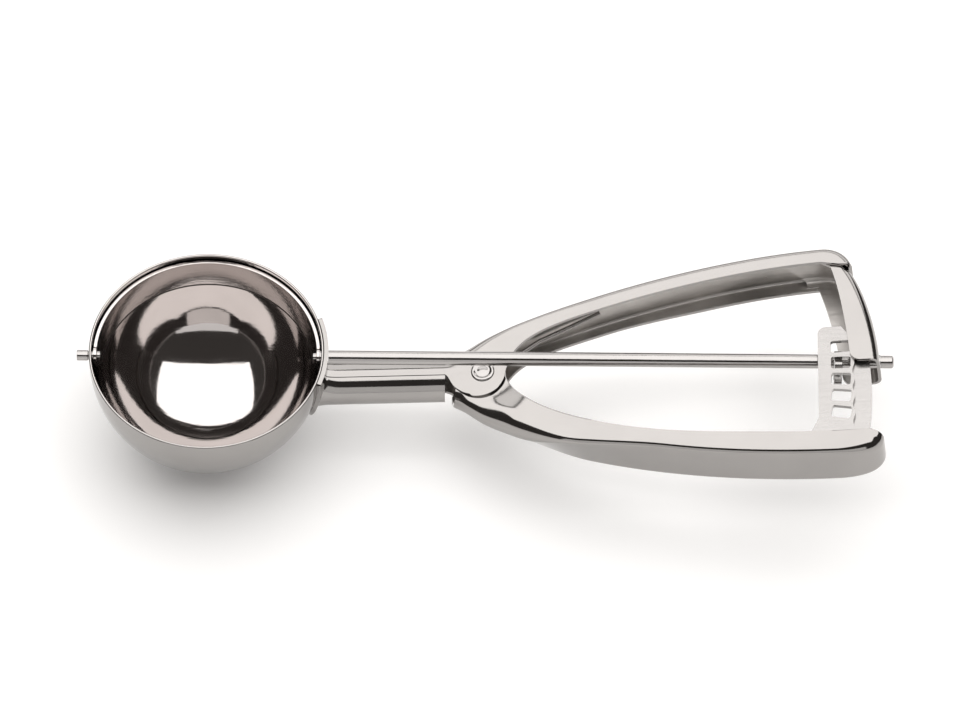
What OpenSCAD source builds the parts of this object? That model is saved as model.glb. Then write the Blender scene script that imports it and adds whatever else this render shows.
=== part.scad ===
// Lever ice cream scoop: a bowl with a sweep blade that a squeeze of the handle turns
// through a rack and a sector pinion.
// Frame: the origin is the centre of the bowl, on the axis that the blade turns about.
// +X runs along the drive rod to its tail, +Z out of the bowl's mouth.

/* [Bowl] */
// Outside diameter of the bowl
bowl_d = 66; // [60:0.5:72]
// Sheet thickness of the bowl
bowl_wall = 0.8; // [0.6:0.1:1.2]
// Height of the straight rim above the blade's axis
rim_h = 3; // [2.6:0.1:5]
// Thickness of the saddle plate between bowl and neck
collar_t = 1.2; // [0.8:0.1:2]
// Width of the saddle plate
collar_w = 23.4; // [18:0.5:28]
// Depth below the axis at which the saddle plate starts to round off
collar_drop = 8.3; // [6:0.5:12]

/* [Sweep blade, rod and pinion] */
// Thickness of the sweep blade
blade_t = 0.8; // [0.5:0.1:1.2]
// Width of the sweep blade
blade_w = 9.6; // [7:0.1:12]
// Height of the blade's leading edge above its pins
blade_lead = 0.8; // [0.4:0.1:1.4]
// Gap between the blade and the inside of the bowl
blade_gap = 0.4; // [0.3:0.05:0.8]
// Rise of the resting blade's pin plane above the rim plane's direction, in degrees
blade_rest = 0.6; // [-3:0.2:1.6]
// Diameter of the drive rod
rod_d = 4; // [3:0.1:5]
// Length of the rod's tail behind the rear bracket
rod_tail = 4; // [2:0.1:8]
// Diameter of the turned seat on the rod's tail
tail_d = 3.6; // [3:0.1:3.6]
// Diameter of the front pin outside the bowl
pin_d = 3; // [3:0.1:4]
// Length of the front pin outside the bowl
pin_out = 3.4; // [1:0.1:6]
// Diameter of the front pin where it runs in the bowl's wall
pin_neck_d = 2.6; // [2.2:0.1:2.6]
// Diameter of the tenons that hold the blade
tenon_d = 2; // [1.4:0.1:2.4]
// Diameter of the upset heads on the tenons
upset_d = 2.6; // [2.2:0.1:3.4]
// Height of the upset heads inside the blade
upset_h = 1.1; // [0.5:0.1:2]
// Face width of the sector pinion
pinion_t = 2.2; // [1.6:0.1:2.6]
// Height of the pinion's teeth above its pitch circle
tooth_top = 1.84; // [1.2:0.02:1.9]
// Width of a pinion tooth
tooth_w = 2.6; // [1.8:0.1:2.7]
// Number of teeth on the sector
teeth = 3; // [3:1:4]

/* [Handle frame] */
// Distance from the bowl's centre to the lever pivot
pivot_x = 78.3; // [70:0.5:90]
// Offset of the pivot towards the lever
pivot_y = 2.1; // [1:0.1:3]
// Depth of the handle's middle plane below the rod at the pivot
pivot_drop = 10.8; // [10.6:0.1:13]
// Rise of the handle towards its end, in degrees
handle_tilt = 6.3; // [5.5:0.1:6.6]
// Outside diameter of the neck
neck_d = 12.3; // [10:0.1:12.6]
// Depth of the neck's axis below the rod where it meets the bowl
neck_drop = 13.1; // [12.6:0.1:14]
// Rise of the neck towards the pivot, in degrees
neck_rise = 3.3; // [2:0.1:4]
// Distance from the pivot to the cut end of the neck
neck_gap = 11.4; // [10.5:0.1:13]
// Sheet thickness of frame and lever
sheet = 1; // [0.8:0.05:1.2]
// Outside height of the handle channels
channel_h = 15.2; // [14:0.1:17]
// Bend radius of the handle channels
bend_r = 1.8; // [1.6:0.1:3]
// Depth of the upper arm's channel
arm_depth = 5.1; // [4:0.1:8]
// Distance from the pivot to the rear corner of the handle
grip_l = 95.2; // [90:0.2:100]
// Height of the upper arm above the pivot at its rear
arm_rise = 36.2; // [32:0.2:40]
// Radius of the frame's upper ear
ear_r = 7.9; // [7.2:0.1:8.2]
// Radius of the frame's lower ear
ear_low_r = 4.5; // [4:0.1:5]

/* [Lever and rack] */
// Depth of the lever below the pivot at its rear
lever_fall = 32.9; // [28:0.1:36]
// Depth of the lever's channel at its rear
lever_depth = 6.9; // [5:0.1:9]
// Depth of the lever's channel near the pivot
lever_root_depth = 4.9; // [4:0.1:7]
// Radius of the lever's ears
lever_ear_r = 6.3; // [5.4:0.1:6.6]
// Thickness of the rack plate
rack_t = 1.2; // [0.8:0.1:1.4]
// Number of rack windows
windows = 5; // [4:1:6]
// Angle of the first window above the pivot, in degrees
window_first = 2; // [1.8:0.05:2.2]
// Distance of the windows' middle behind the upper arm's corner
window_off = 5.3; // [4.8:0.1:5.8]
// Angle between two windows about the pivot, in degrees
window_step = 3.1; // [3.05:0.01:3.2]
// Width of a rack window
window_w = 3.9; // [3.8:0.05:4.1]
// Length of a rack window
window_l = 5.5; // [5:0.1:6]
// Clear space between the rack and the bracket's top wall
rack_gap = 0.25; // [0.2:0.05:0.5]

/* [Bracket, rivet and spring] */
// Sheet thickness of the rear bracket
bracket_t = 0.9; // [0.7:0.05:1.1]
// Bend radius of the rear bracket
bracket_r = 2.6; // [2:0.1:3.2]
// Shank diameter of the pivot rivet
rivet_d = 4; // [3:0.1:5]
// Head diameter of the pivot rivet
rivet_head_d = 6.6; // [6:0.1:7.4]
// Head height of the pivot rivet
rivet_head_h = 0.55; // [0.4:0.05:0.7]
// Head height of the pivot rivet under the lower ear
rivet_low_h = 1; // [0.6:0.1:1.4]
// Width of the raised lip on the upper rivet head
rivet_lip = 1.15; // [0.8:0.05:1.4]
// Outside diameter of the spacer sleeve
sleeve_d = 6.2; // [5.6:0.1:7]
// Wire diameter of the return spring
wire_d = 1.3; // [0.8:0.1:1.6]
// Number of coils in the return spring
coils = 4; // [3:1:5]
// Place on the upper arm where the spring's leg ends, as a share of its curve
leg_reach = 0.4; // [0.3:0.02:0.5]

/* [Fits] */
// Radial running clearance of shafts in their holes
running = 0.05; // [0.02:0.01:0.1]
// Gap between welded or staked pieces
seam = 0.02; // [0.01:0.01:0.05]
// Side clearance between the lever's ears and the frame's ears
ear_gap = 0.1; // [0.05:0.01:0.3]

/* [Hidden] */
$fn = 96;
bend_steps = 4;

// Bowl and blade
bowl_r = bowl_d / 2;
bowl_in = bowl_r - bowl_wall;
blade_out = bowl_in - blade_gap;
blade_in = blade_out - blade_t;
collar_r = bowl_r + seam + collar_t;
blade_tab_r = tenon_d / 2 + 1.4;
blade_round_r = blade_w / 2;

// Handle plane: x along the handle from the pivot, y away from the lever, z out of the top ear
tilt_cos = cos(handle_tilt);
tilt_sin = sin(handle_tilt);
half_h = channel_h / 2;
lever_half = half_h - sheet - ear_gap;
bracket_half = half_h - sheet - seam;
bracket_in = bracket_half - bracket_t;
rack_top = bracket_in - rack_gap;
rack_mid = rack_top - rack_t / 2;

// The pinion sits on the rod under the inner ends of the rack windows.
window_r = grip_l + window_off;
last_window = window_first - teeth * window_step;
pinion_side = 0.2;
pinion_reach = window_r / cos(last_window) - window_l / 2 + pinion_side + pinion_t / 2;
pinion_x = pivot_x + pinion_reach * tilt_cos - rack_mid * tilt_sin;
pitch_r = pinion_reach * tilt_sin + rack_mid * tilt_cos - pivot_drop;
tooth_step = window_step * pinion_reach / pitch_r;
tooth_first = ((window_first - window_step) * PI / 180 * pinion_reach - pivot_y) / pitch_r * 180 / PI;
pinion_tip_r = pitch_r + tooth_top;
pinion_root_r = pitch_r - rack_t / 2 - 0.5;
pinion_hub_r = rod_d * 0.725;

// Neck
neck_r = neck_d / 2;
neck_end_x = pivot_x - neck_gap;
neck_end_z = -neck_drop + (neck_end_x - bowl_r) * tan(neck_rise);
neck_lift = neck_end_z + pivot_drop + neck_gap * tan(handle_tilt);
neck_lap = neck_r * 0.16;

// The plan curves are drawn in hundredths of the handle's length.
u = grip_l / 100;

// Plan of the upper arm: its outside line runs neck, arm and corner, its inside line ear, fork and edge.
arm_root = [-neck_gap * 0.06, pivot_y + neck_r * 1.545];
arm_end = [grip_l, arm_rise];
neck_line = [[-neck_gap - neck_lap, pivot_y + neck_r], [-neck_gap * 0.66, pivot_y + neck_r],
             arm_root - neck_r * [0.54, 0.24], arm_root];
arm_line = [arm_root, arm_root + u * [21.74, 10.71], arm_end - u * [36.97, 1.68], arm_end];
arm_corner = [arm_end, arm_end + u * [4.83, 0.21], arm_end + u * [8.19, -2.42], arm_end + u * [9.45, -6.51]];
corner_edge = arm_end + u * [5.46, -6.3];
arm_edge_end = right_of(arm_line, 1, arm_depth);
ear_c = ear_r * [-0.19, 0.01];
ear_low_c = ear_low_r * [-0.13, 0.07];
ear_from = 215;
ear_mid = 320;
ear_to = 354;
ear_start = [-neck_gap - neck_lap, -neck_r * 0.05];
ear_lead = [ear_start, ear_start + neck_r * [0.29, -0.05], on_ear(ear_from) - ear_r * [0.2, -0.25], on_ear(ear_from)];
low_lead = [ear_start, ear_start + neck_r * [0.45, 0], on_low_ear(ear_from) - ear_low_r * [0.58, -0.4],
            on_low_ear(ear_from)];
neck_t = 0.3;
ear_t = 0.06;
fork_t = 0.39;
low_trim = arm_depth * 0.18;
fork_end = right_of(arm_line, fork_t, arm_depth);
low_fork_end = right_of(arm_line, fork_t, arm_depth - low_trim);
fork_line = [on_ear(ear_to), on_ear(ear_to) + u * [1.05, 11.87], fork_end - 15.76 * u * along(arm_line, fork_t), fork_end];
low_fork_line = [on_low_ear(ear_to), on_low_ear(ear_to) + u * [0.84, 12.6],
                 low_fork_end - 15.76 * u * along(arm_line, fork_t), low_fork_end];

// Plan of the lever
lever_tip = [-neck_gap * 0.956, -neck_r * 0.49];
lever_end = [grip_l + 4.52 * u, -lever_fall];
lever_line = [lever_tip, lever_tip + u * [22.48, -18.49], lever_end - u * [49.9, -0.42], lever_end];
lever_corner = [lever_end, lever_end + u * [6.83, -0.11], lever_end + u * [12.71, 1.26], lever_end + u * [13.24, 5.88]];
lever_corner_edge = lever_end + u * [9.35, 7.35];
lever_edge_end = left_of(lever_line, 1, lever_depth);
lever_nose_t = 0.03;
lever_ear_t = 0.2;
lever_fork_t = 0.46;
lever_ear_from = 160;
lever_ear_to = -7;
lever_nose_edge = [lever_tip[0] * 0.8, lever_ear_r * 0.35];
lever_fork_end = left_of(lever_line, lever_fork_t, lever_root_depth);
lever_fork = [on_lever_ear(lever_ear_to), on_lever_ear(lever_ear_to) + u * [2.73, -9.14],
              lever_fork_end - 13.66 * u * along(lever_line, lever_fork_t), lever_fork_end];
lever_nose_half = lever_half * 0.746;
lever_nose_lift = neck_lift * 0.65;
lever_cut = lever_tip[0] * [0.69, 0.98];

// Plan of the rear bracket: it nests in the arm, rounds the corner and drops past the rod.
nest = sheet + seam;
nest_from = 0.84;
nest_low_to = 0.985;
nest_depth = arm_depth * 0.9;
nest_cut = u * [85.1, 96];
drop_from = right_of(arm_corner, 1, nest);
drop_end = [grip_l + 16.91 * u, pivot_y - rod_d];
drop_line = [drop_from, drop_from + u * [4.1, -6.2], drop_end + u * [-0.53, 12.5], drop_end];
drop_top = [drop_from - u * [5.46, -0.53], drop_from - u * [3.15, 5.78], drop_end + u * [-9.66, 14.6], drop_end - u * [8.3, 0]];
drop_low = [drop_from - u * [9.45, -0.32], drop_from - u * [6.72, 8.09], drop_end + u * [-12.39, 12.5],
            drop_end - u * [11.34, 0]];
drop_round = bracket_r;
drop_turn = 1 - drop_round / (37.5 * u);
drop_cut = u * 3.8;
web_x = pivot_x + (drop_end[0] - 0.45 * u - pivot_drop * tilt_sin) / tilt_cos;
tail_x = web_x + rod_tail;
tail_seat = 0.3;
chamfer = 0.4;

// Rack plate
rack_left = window_r - window_l / 2 - 3.8 * u;
rack_flare = rack_left - 2.52 * u;
rack_right = window_r + 8.93 * u;
rack_right_r = 105 * u;
rack_step = window_r + window_l / 2 + 0.5;
rack_end_y = pivot_y + 8.6 * u;
rack_round = 2.4 * u;
rack_base_y = bend_r + 0.3 - lever_fall;
rack_step_y = lever_depth - bend_r - 0.4 - lever_fall;
rack_lap = 0.05;

// Return spring
coil_r = sleeve_d / 2 + wire_d * 0.77;
coil_rise = (coils - 0.7) * wire_d * 0.56;
leg_gap = sheet + wire_d * 0.6;
arm_leg_end = right_of(arm_line, leg_reach, leg_gap);
arm_leg_start = right_of(arm_line, leg_reach * 0.5, leg_gap + 0.5 * u);
lever_leg_start = left_of(lever_line, leg_reach * 0.7, leg_gap + 0.5 * u);
lever_leg_end = left_of(lever_line, leg_reach * 1.14, leg_gap + 0.5 * u);
arm_leg_a = atan2(arm_leg_start[1], arm_leg_start[0]) + acos(coil_r / norm(arm_leg_start));
lever_leg_a = atan2(lever_leg_start[1], lever_leg_start[0]) - acos(coil_r / norm(lever_leg_start));
coil_turn = lever_leg_a + 360 * coils - arm_leg_a;
coil_steps = 24 * coils;

// Points on the plan curves, which are cubic curves through four control points
function bez(p, t) = pow(1 - t, 3) * p[0] + 3 * t * pow(1 - t, 2) * p[1]
                   + 3 * t * t * (1 - t) * p[2] + pow(t, 3) * p[3];
function slope(p, t) = 3 * pow(1 - t, 2) * (p[1] - p[0]) + 6 * t * (1 - t) * (p[2] - p[1])
                     + 3 * t * t * (p[3] - p[2]);
function unit(v) = v / norm(v);
function along(p, t) = unit(slope(p, t));
function right_of(p, t, d) = let (s = along(p, t)) bez(p, t) + d * [s[1], -s[0]];
function left_of(p, t, d) = right_of(p, t, -d);
function mix(a, b, t) = a + (b - a) * t;
function ease(t) = let (c = max(0, min(1, t))) c * c * (3 - 2 * c);
function on_ear(a) = ear_c + ear_r * [cos(a), sin(a)];
function on_low_ear(a) = ear_low_c + ear_low_r * [cos(a), sin(a)];
function on_lever_ear(a) = lever_ear_r * [cos(a), sin(a)];

// One cross-section of a bent channel: o is the plan point of its back, t1 and t2 are the plan
// points of its upper and lower free edges, z1 and z2 their heights, r the bend radius, w the sheet.
function rib(o, t1, t2, z1, z2, r, w) =
    let (u1 = unit(t1 - o), u2 = unit(t2 - o))
    concat([at(t1, z1)], bend(o, u1, r, r, z1 - r, 90, 180), bend(o, u2, r, r, z2 + r, 180, 270),
           [at(t2, z2), at(t2, z2 + w)],
           bend(o, u2, r, r - w, z2 + r, 270, 180), bend(o, u1, r, r - w, z1 - r, 180, 90), [at(t1, z1 - w)]);
function bend(o, dir, c, r, z, from, to) =
    [for (k = [0:bend_steps]) let (a = mix(from, to, k / bend_steps)) at(o + dir * (c + r * cos(a)), z + r * sin(a))];
function at(p, z) = [p[0], p[1], z];

// Heights and bend radius of the handle sheets at one place along the handle
function arm_open(o, t) = ease((mix(o[0], t[0], 0.75) + neck_gap) / (neck_gap * 0.65));
function arm_rib(o, t1, t2) =
    let (f1 = arm_open(o, t1), f2 = arm_open(o, t2), z1 = mix(neck_lift + neck_r, half_h, f1),
         z2 = mix(neck_lift - neck_r, -half_h, f2),
         r = mix(neck_r, bend_r, ease(((o[0] + t1[0]) / 2 + neck_gap) / (neck_gap * 2.8))))
    rib(o, t1, t2, z1, z2, min(r, (z1 - z2) / 2 - 0.2), sheet);
function lever_rib(o, t, tail = 0) =
    let (x = (o[0] + t[0]) / 2, nose = x - lever_tip[0],
         h = x < ear_r ? mix(lever_nose_half, lever_half, ease(nose / (ear_r * 1.13)))
                       : mix(lever_half, half_h, ease((x - ear_r * 1.14) / (ear_r * 0.63))),
         lift = lever_nose_lift * (1 - ease(nose / (ear_r * 0.82))),
         r = mix(lever_half * mix(0.49, 0.77, ease(nose / (ear_r * 1.4))), bend_r * (1 + 0.9 * tail),
                 ease((x - ear_r * 0.76) / (ear_r * 3.5))))
    rib(o, t, t, lift + h, lift - h, min(r, h - 0.3), sheet);
function lever_reach(t) =
    mix(lever_root_depth, lever_depth, ease((bez(lever_line, t)[0] / grip_l - 0.35) / 0.525));
function bracket_rib(o, t1, t2) = rib(o, t1, t2, bracket_half, -bracket_half, bracket_r, bracket_t);

frame_ribs = concat(
    [for (i = [0:3]) arm_rib(bez(neck_line, neck_t * i / 4), bez(ear_lead, i / 4), bez(low_lead, i / 4))],
    [for (i = [0:9]) let (a = mix(ear_from, ear_mid, i / 10))
        arm_rib(bez(neck_line, mix(neck_t, 1, i / 10)), on_ear(a), on_low_ear(a))],
    [for (i = [0:3]) let (a = mix(ear_mid, ear_to, i / 4)) arm_rib(bez(arm_line, ear_t * i / 4), on_ear(a), on_low_ear(a))],
    [for (i = [0:9]) arm_rib(bez(arm_line, mix(ear_t, fork_t, i / 10)), bez(fork_line, i / 10), bez(low_fork_line, i / 10))],
    [for (i = [0:8]) let (t = mix(fork_t, 1, i / 9), d = low_trim * (1 - ease((bez(arm_line, t)[0] / grip_l - 0.35) / 0.3)))
        arm_rib(bez(arm_line, t), right_of(arm_line, t, arm_depth), right_of(arm_line, t, arm_depth - d))],
    [for (i = [0:6]) let (e = mix(arm_edge_end, corner_edge, i / 6)) arm_rib(bez(arm_corner, i / 6), e, e)]);

lever_ribs = concat(
    [for (i = [0:1]) lever_rib(bez(lever_line, lever_nose_t * i / 2), mix(lever_nose_edge, on_lever_ear(lever_ear_from), i / 2))],
    [for (i = [0:10]) lever_rib(bez(lever_line, mix(lever_nose_t, lever_ear_t, i / 11)),
                                on_lever_ear(mix(lever_ear_from, lever_ear_to, i / 11)))],
    [for (i = [0:9]) lever_rib(bez(lever_line, mix(lever_ear_t, lever_fork_t, i / 10)), bez(lever_fork, i / 10))],
    [for (i = [0:8]) let (t = mix(lever_fork_t, 1, i / 9))
        lever_rib(bez(lever_line, t), left_of(lever_line, t, lever_reach(t)))],
    [for (i = [0:8]) lever_rib(bez(lever_corner, i / 8), mix(lever_edge_end, lever_corner_edge, i / 8), i / 8)]);

bracket_ribs = concat(
    [for (i = [0:4]) let (t = mix(nest_from, 1, i / 5))
        bracket_rib(right_of(arm_line, t, nest), right_of(arm_line, t, nest_depth),
                    right_of(arm_line, mix(nest_from, nest_low_to, i / 5), nest_depth))],
    [for (i = [0:5])
        bracket_rib(right_of(arm_corner, i / 6, nest), mix(right_of(arm_line, 1, nest_depth), drop_top[0], i / 6),
                    mix(right_of(arm_line, nest_low_to, nest_depth), drop_low[0], i / 6))],
    [for (i = [0:9]) let (t = drop_turn * i / 10)
        bracket_rib(bez(drop_line, t), bez(drop_top, t), bez(drop_low, t))],
    [for (b = [0:15:90]) let (t = mix(drop_turn, 1, sin(b)), c = drop_round * (1 - cos(b)))
        bracket_rib(bez(drop_line, t), bez(drop_top, t) + [c, 0], bez(drop_low, t) + [c, 0])]);

spring_path = concat(
    [at(arm_leg_end, wire_d * 0.38), at(mix(arm_leg_end, arm_leg_start, 0.5), -coil_rise * 0.45), at(arm_leg_start, -coil_rise)],
    [for (i = [0:coil_steps]) let (a = arm_leg_a + coil_turn * i / coil_steps)
        [coil_r * cos(a), coil_r * sin(a), mix(-coil_rise, coil_rise, i / coil_steps)]],
    [at(lever_leg_start, coil_rise), at(mix(lever_leg_start, lever_leg_end, 0.5), coil_rise * 0.45), at(lever_leg_end, -wire_d * 0.38)]);

// Rings of points joined to one closed skin: pairs of points across the sheet close both ends
module skin(rings) {
    n = len(rings[0]);
    m = len(rings) - 1;
    polyhedron(
        points = [for (r = rings) each r],
        faces = concat(
            [for (j = [0:m - 1], i = [0:n - 1]) [j * n + i, j * n + (i + 1) % n, (j + 1) * n + i]],
            [for (j = [0:m - 1], i = [0:n - 1]) [j * n + (i + 1) % n, (j + 1) * n + (i + 1) % n, (j + 1) * n + i]],
            [for (i = [0:n / 2 - 2]) [i, n - 1 - i, n - 2 - i]],
            [for (i = [0:n / 2 - 2]) [i, n - 2 - i, i + 1]],
            [for (i = [0:n / 2 - 2]) [m * n + i, m * n + n - 2 - i, m * n + n - 1 - i]],
            [for (i = [0:n / 2 - 2]) [m * n + i, m * n + i + 1, m * n + n - 2 - i]]),
        convexity = 8);
}

module in_handle() translate([pivot_x, -pivot_y, -pivot_drop]) rotate([0, -handle_tilt, 0]) children();
module along_x(x) translate([x, 0, 0]) rotate([0, 90, 0]) children();

// Half outline of the bowl's shape with radius r: a quarter circle under a straight rim
module outline(r, rim) {
    intersection() {
        circle(r = r);
        translate([0, -r - 1]) square([r + 1, r + 1]);
    }
    square([r, rim]);
}

module form(r) rotate(90) rotate_extrude() outline(r, rim_h);

module bowl() color([0.86, 0.86, 0.84])
    difference() {
        rotate(90) rotate_extrude() difference() {
            outline(bowl_r, rim_h);
            outline(bowl_in, rim_h + 1);
        }
        along_x(0) cylinder(d = rod_d + 2 * running, h = bowl_r + 2);
        along_x(-bowl_r - 2) cylinder(d = pin_neck_d + 2 * running, h = bowl_r + 2);
    }

module bowl_collar() color([0.8, 0.8, 0.79])
    difference() {
        intersection() {
            form(collar_r);
            rotate([90, 0, 90]) linear_extrude(bowl_d) union() {
                translate([0, -collar_drop]) circle(d = collar_w);
                translate([-collar_w / 2, -collar_drop]) square([collar_w, collar_drop + rim_h - 0.1]);
            }
        }
        rotate(90) rotate_extrude() outline(bowl_r + seam, rim_h + 1);
        along_x(0) cylinder(d = rod_d + 2 * running, h = bowl_d);
    }

module handle_frame() color([0.84, 0.84, 0.82])
    difference() {
        union() {
            in_handle() skin(frame_ribs);
            neck();
        }
        in_handle() cylinder(d = rivet_d + 2 * seam, h = 2 * channel_h, center = true);
    }

module neck()
    difference() {
        translate([bowl_r, 0, -neck_drop]) rotate([0, 90 - neck_rise, 0]) difference() {
            translate([0, 0, -bowl_r / 2]) cylinder(d = neck_d, h = bowl_d);
            translate([0, 0, -bowl_r / 2 - 1]) cylinder(d = neck_d - 2 * sheet, h = bowl_d + 2);
        }
        sphere(r = collar_r + seam);
        translate([neck_end_x, -neck_d, -3 * neck_d]) cube([bowl_d, 2 * neck_d, 4 * neck_d]);
    }

module rear_bracket() color([0.82, 0.82, 0.8])
    difference() {
        in_handle() difference() {
            skin(bracket_ribs);
            rotate([90, 0, 0]) translate([0, 0, -2 * arm_rise]) linear_extrude(2 * arm_rise)
                polygon([[nest_cut[0] - arm_rise, half_h], [nest_cut[0], half_h], [nest_cut[1], -half_h],
                         [nest_cut[0] - arm_rise, -half_h]]);
            rotate([90, 0, 90]) translate([0, 0, grip_l]) linear_extrude(grip_l)
                polygon([[drop_end[1] - 1, -half_h + drop_cut + 2], [drop_end[1] - 1, -half_h - 1],
                         [drop_end[1] + drop_cut + 1, -half_h - 1]]);
        }
        along_x(web_x - channel_h / 2) cylinder(d = rod_d + 2 * running, h = channel_h);
    }

module squeeze_lever() color([0.84, 0.84, 0.82])
    in_handle() difference() {
        skin(lever_ribs);
        rotate([90, 0, 0]) translate([0, 0, -channel_h]) linear_extrude(2 * channel_h)
            polygon([[lever_cut[0], half_h], [lever_cut[1], -half_h], [lever_cut[1] - neck_d, -half_h],
                     [lever_cut[1] - neck_d, half_h]]);
        cylinder(d = rivet_d + 2 * running, h = 2 * channel_h, center = true);
    }

module rack_outline()
    intersection() {
        translate([rack_right - rack_right_r, -0.35 * lever_fall]) circle(r = rack_right_r, $fn = 360);
        union() {
            translate([rack_left + rack_round, rack_end_y - rack_round]) circle(r = rack_round);
            polygon([[rack_left, rack_end_y - rack_round], [rack_left, -0.61 * lever_fall],
                     [rack_flare, -0.76 * lever_fall], [rack_flare, rack_base_y], [rack_right + u, rack_base_y],
                     [rack_right + u, pivot_y - 3.7 * u],
                     [rack_right - 1.2 * u, pivot_y], [rack_left + 8.3 * u, rack_end_y - 2 * u],
                     [rack_left + 6.9 * u, rack_end_y],
                     [rack_left + rack_round, rack_end_y]]);
        }
    }

module rack_windows(grow)
    for (k = [0:windows - 1]) rotate(window_first - k * window_step)
        translate([window_r / cos(window_first - k * window_step), 0])
            square([window_l + 2 * grow, window_w + 2 * grow], center = true);

module rack_plate() color([0.8, 0.8, 0.79])
    in_handle() {
        translate([0, 0, rack_top - rack_t]) linear_extrude(rack_t) difference() {
            intersection() {
                rack_outline();
                translate([0, rack_step_y - rack_t]) square([rack_right, lever_fall * 2]);
                union() {
                    translate([0, -lever_fall]) square([rack_step, lever_fall * 2]);
                    rack_windows(1);
                }
            }
            rack_windows(0);
        }
        translate([0, 0, rack_top - 2 * rack_t + rack_lap]) linear_extrude(rack_t) difference() {
            intersection() {
                rack_outline();
                translate([rack_step - rack_t, rack_step_y - rack_t]) square([rack_right, lever_fall * 2]);
            }
            rack_windows(0);
        }
        translate([0, 0, rack_top - rack_lap]) linear_extrude(half_h - sheet - seam - rack_top + rack_lap)
            intersection() {
                rack_outline();
                translate([0, rack_base_y]) square([rack_step, rack_step_y - rack_base_y]);
            }
    }

module sector_pinion() color([0.8, 0.8, 0.79])
    translate([pinion_x - pinion_t / 2, 0, 0]) rotate([90, 0, 90]) linear_extrude(pinion_t) difference() {
        union() {
            circle(r = pinion_hub_r);
            intersection() {
                circle(r = pinion_root_r);
                polygon([[0, 0], for (k = [0:0.5:teeth - 1]) 2 * pinion_tip_r * tooth_dir(k)]);
            }
            intersection() {
                circle(r = pinion_tip_r);
                for (k = [0:teeth - 1]) rotate(90 - tooth_first + k * tooth_step)
                    translate([0, -tooth_w / 2]) square([2 * pinion_tip_r, tooth_w]);
            }
        }
        circle(d = rod_d + 2 * seam);
    }
function tooth_dir(k) = let (a = 90 - tooth_first + k * tooth_step) [cos(a), sin(a)];

// A turned piece along X from its half outline: each point is [place on the axis, radius]
module turned(line) rotate([0, 90, 0]) rotate_extrude() polygon([for (p = line) [p[1], p[0]]]);

head_in = blade_in - 0.06 - upset_h;
head_out = blade_in - 0.06;
shoulder = blade_out + seam;

module sweep_rod() color([0.88, 0.88, 0.87])
    turned([[head_in, 0], [head_in, upset_d / 2], [head_out, upset_d / 2], [head_out, tenon_d / 2],
            [shoulder, tenon_d / 2], [shoulder, rod_d / 2], [web_x + tail_seat, rod_d / 2],
            [web_x + tail_seat, tail_d / 2], [tail_x - chamfer, tail_d / 2], [tail_x, tail_d / 2 - chamfer], [tail_x, 0]]);

module front_pin() color([0.88, 0.88, 0.87]) mirror([1, 0, 0])
    turned([[head_in, 0], [head_in, upset_d / 2], [head_out, upset_d / 2], [head_out, tenon_d / 2],
            [shoulder, tenon_d / 2], [shoulder, pin_neck_d / 2], [bowl_r + tail_seat, pin_neck_d / 2],
            [bowl_r + tail_seat, pin_d / 2], [bowl_r + pin_out, pin_d / 2], [bowl_r + pin_out, 0]]);

module sweep_blade() color([0.84, 0.84, 0.82])
    difference() {
        intersection() {
            sphere(r = blade_out);
            rotate([90, 0, 90]) rotate(blade_rest) linear_extrude(bowl_d, center = true) union() {
                circle(r = blade_tab_r);
                translate([blade_round_r, blade_lead - blade_round_r]) circle(r = blade_round_r);
                translate([blade_round_r, blade_lead - blade_w]) square([bowl_r, blade_w]);
            }
        }
        sphere(r = blade_in);
        along_x(-bowl_r) cylinder(d = tenon_d + 2 * seam, h = bowl_d);
    }

module pivot_rivet() color([0.87, 0.87, 0.86])
    in_handle() rotate_extrude() polygon([
        [0, -half_h - rivet_low_h], [rivet_head_d / 2, -half_h - rivet_low_h], [rivet_head_d / 2, -half_h - seam],
        [rivet_d / 2, -half_h - seam], [rivet_d / 2, half_h + seam], [rivet_head_d / 2, half_h + seam],
        [rivet_head_d / 2, half_h + rivet_head_h], [rivet_head_d / 2 - rivet_lip, half_h + rivet_head_h],
        [rivet_head_d / 2 - rivet_lip, half_h + rivet_head_h * 0.3], [0, half_h + rivet_head_h * 0.3]]);

module pivot_sleeve() color([0.8, 0.8, 0.79])
    in_handle() difference() {
        cylinder(d = sleeve_d, h = 2 * (lever_half - sheet - ear_gap), center = true);
        cylinder(d = rivet_d + 2 * running, h = channel_h, center = true);
    }

module return_spring() color([0.72, 0.73, 0.75])
    in_handle() skin([for (i = [0:len(spring_path) - 1])
        let (d = unit(spring_path[min(i + 1, len(spring_path) - 1)] - spring_path[max(i - 1, 0)]),
             e = unit([d[1], -d[0], 0]), f = cross(e, d))
        [for (k = [0:7]) spring_path[i] + wire_d / 2 * (e * cos(45 * k + 22.5) + f * sin(45 * k + 22.5))]]);

bowl();
bowl_collar();
handle_frame();
rear_bracket();
squeeze_lever();
rack_plate();
sector_pinion();
sweep_rod();
sweep_blade();
front_pin();
pivot_rivet();
pivot_sleeve();
return_spring();
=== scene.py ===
# %% [markdown]
# # A lever ice cream scoop in polished steel
# The scoop is a half-round bowl with a sweep blade, a rod, and a two-armed handle pressed from
# sheet steel. Squeezing the handle drives a slotted rack past a small sector on the rod, and the
# blade turns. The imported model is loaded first, as a fixed frame: each piece below is a finer
# version of one of its nodes, in the same place, and rides on the same moving body.

# %% Load the frame
import bpy
import bmesh
from math import acos, asin, atan2, cos, degrees, pi, radians, sin, sqrt, tan
from mathutils import Matrix, Vector


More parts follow.
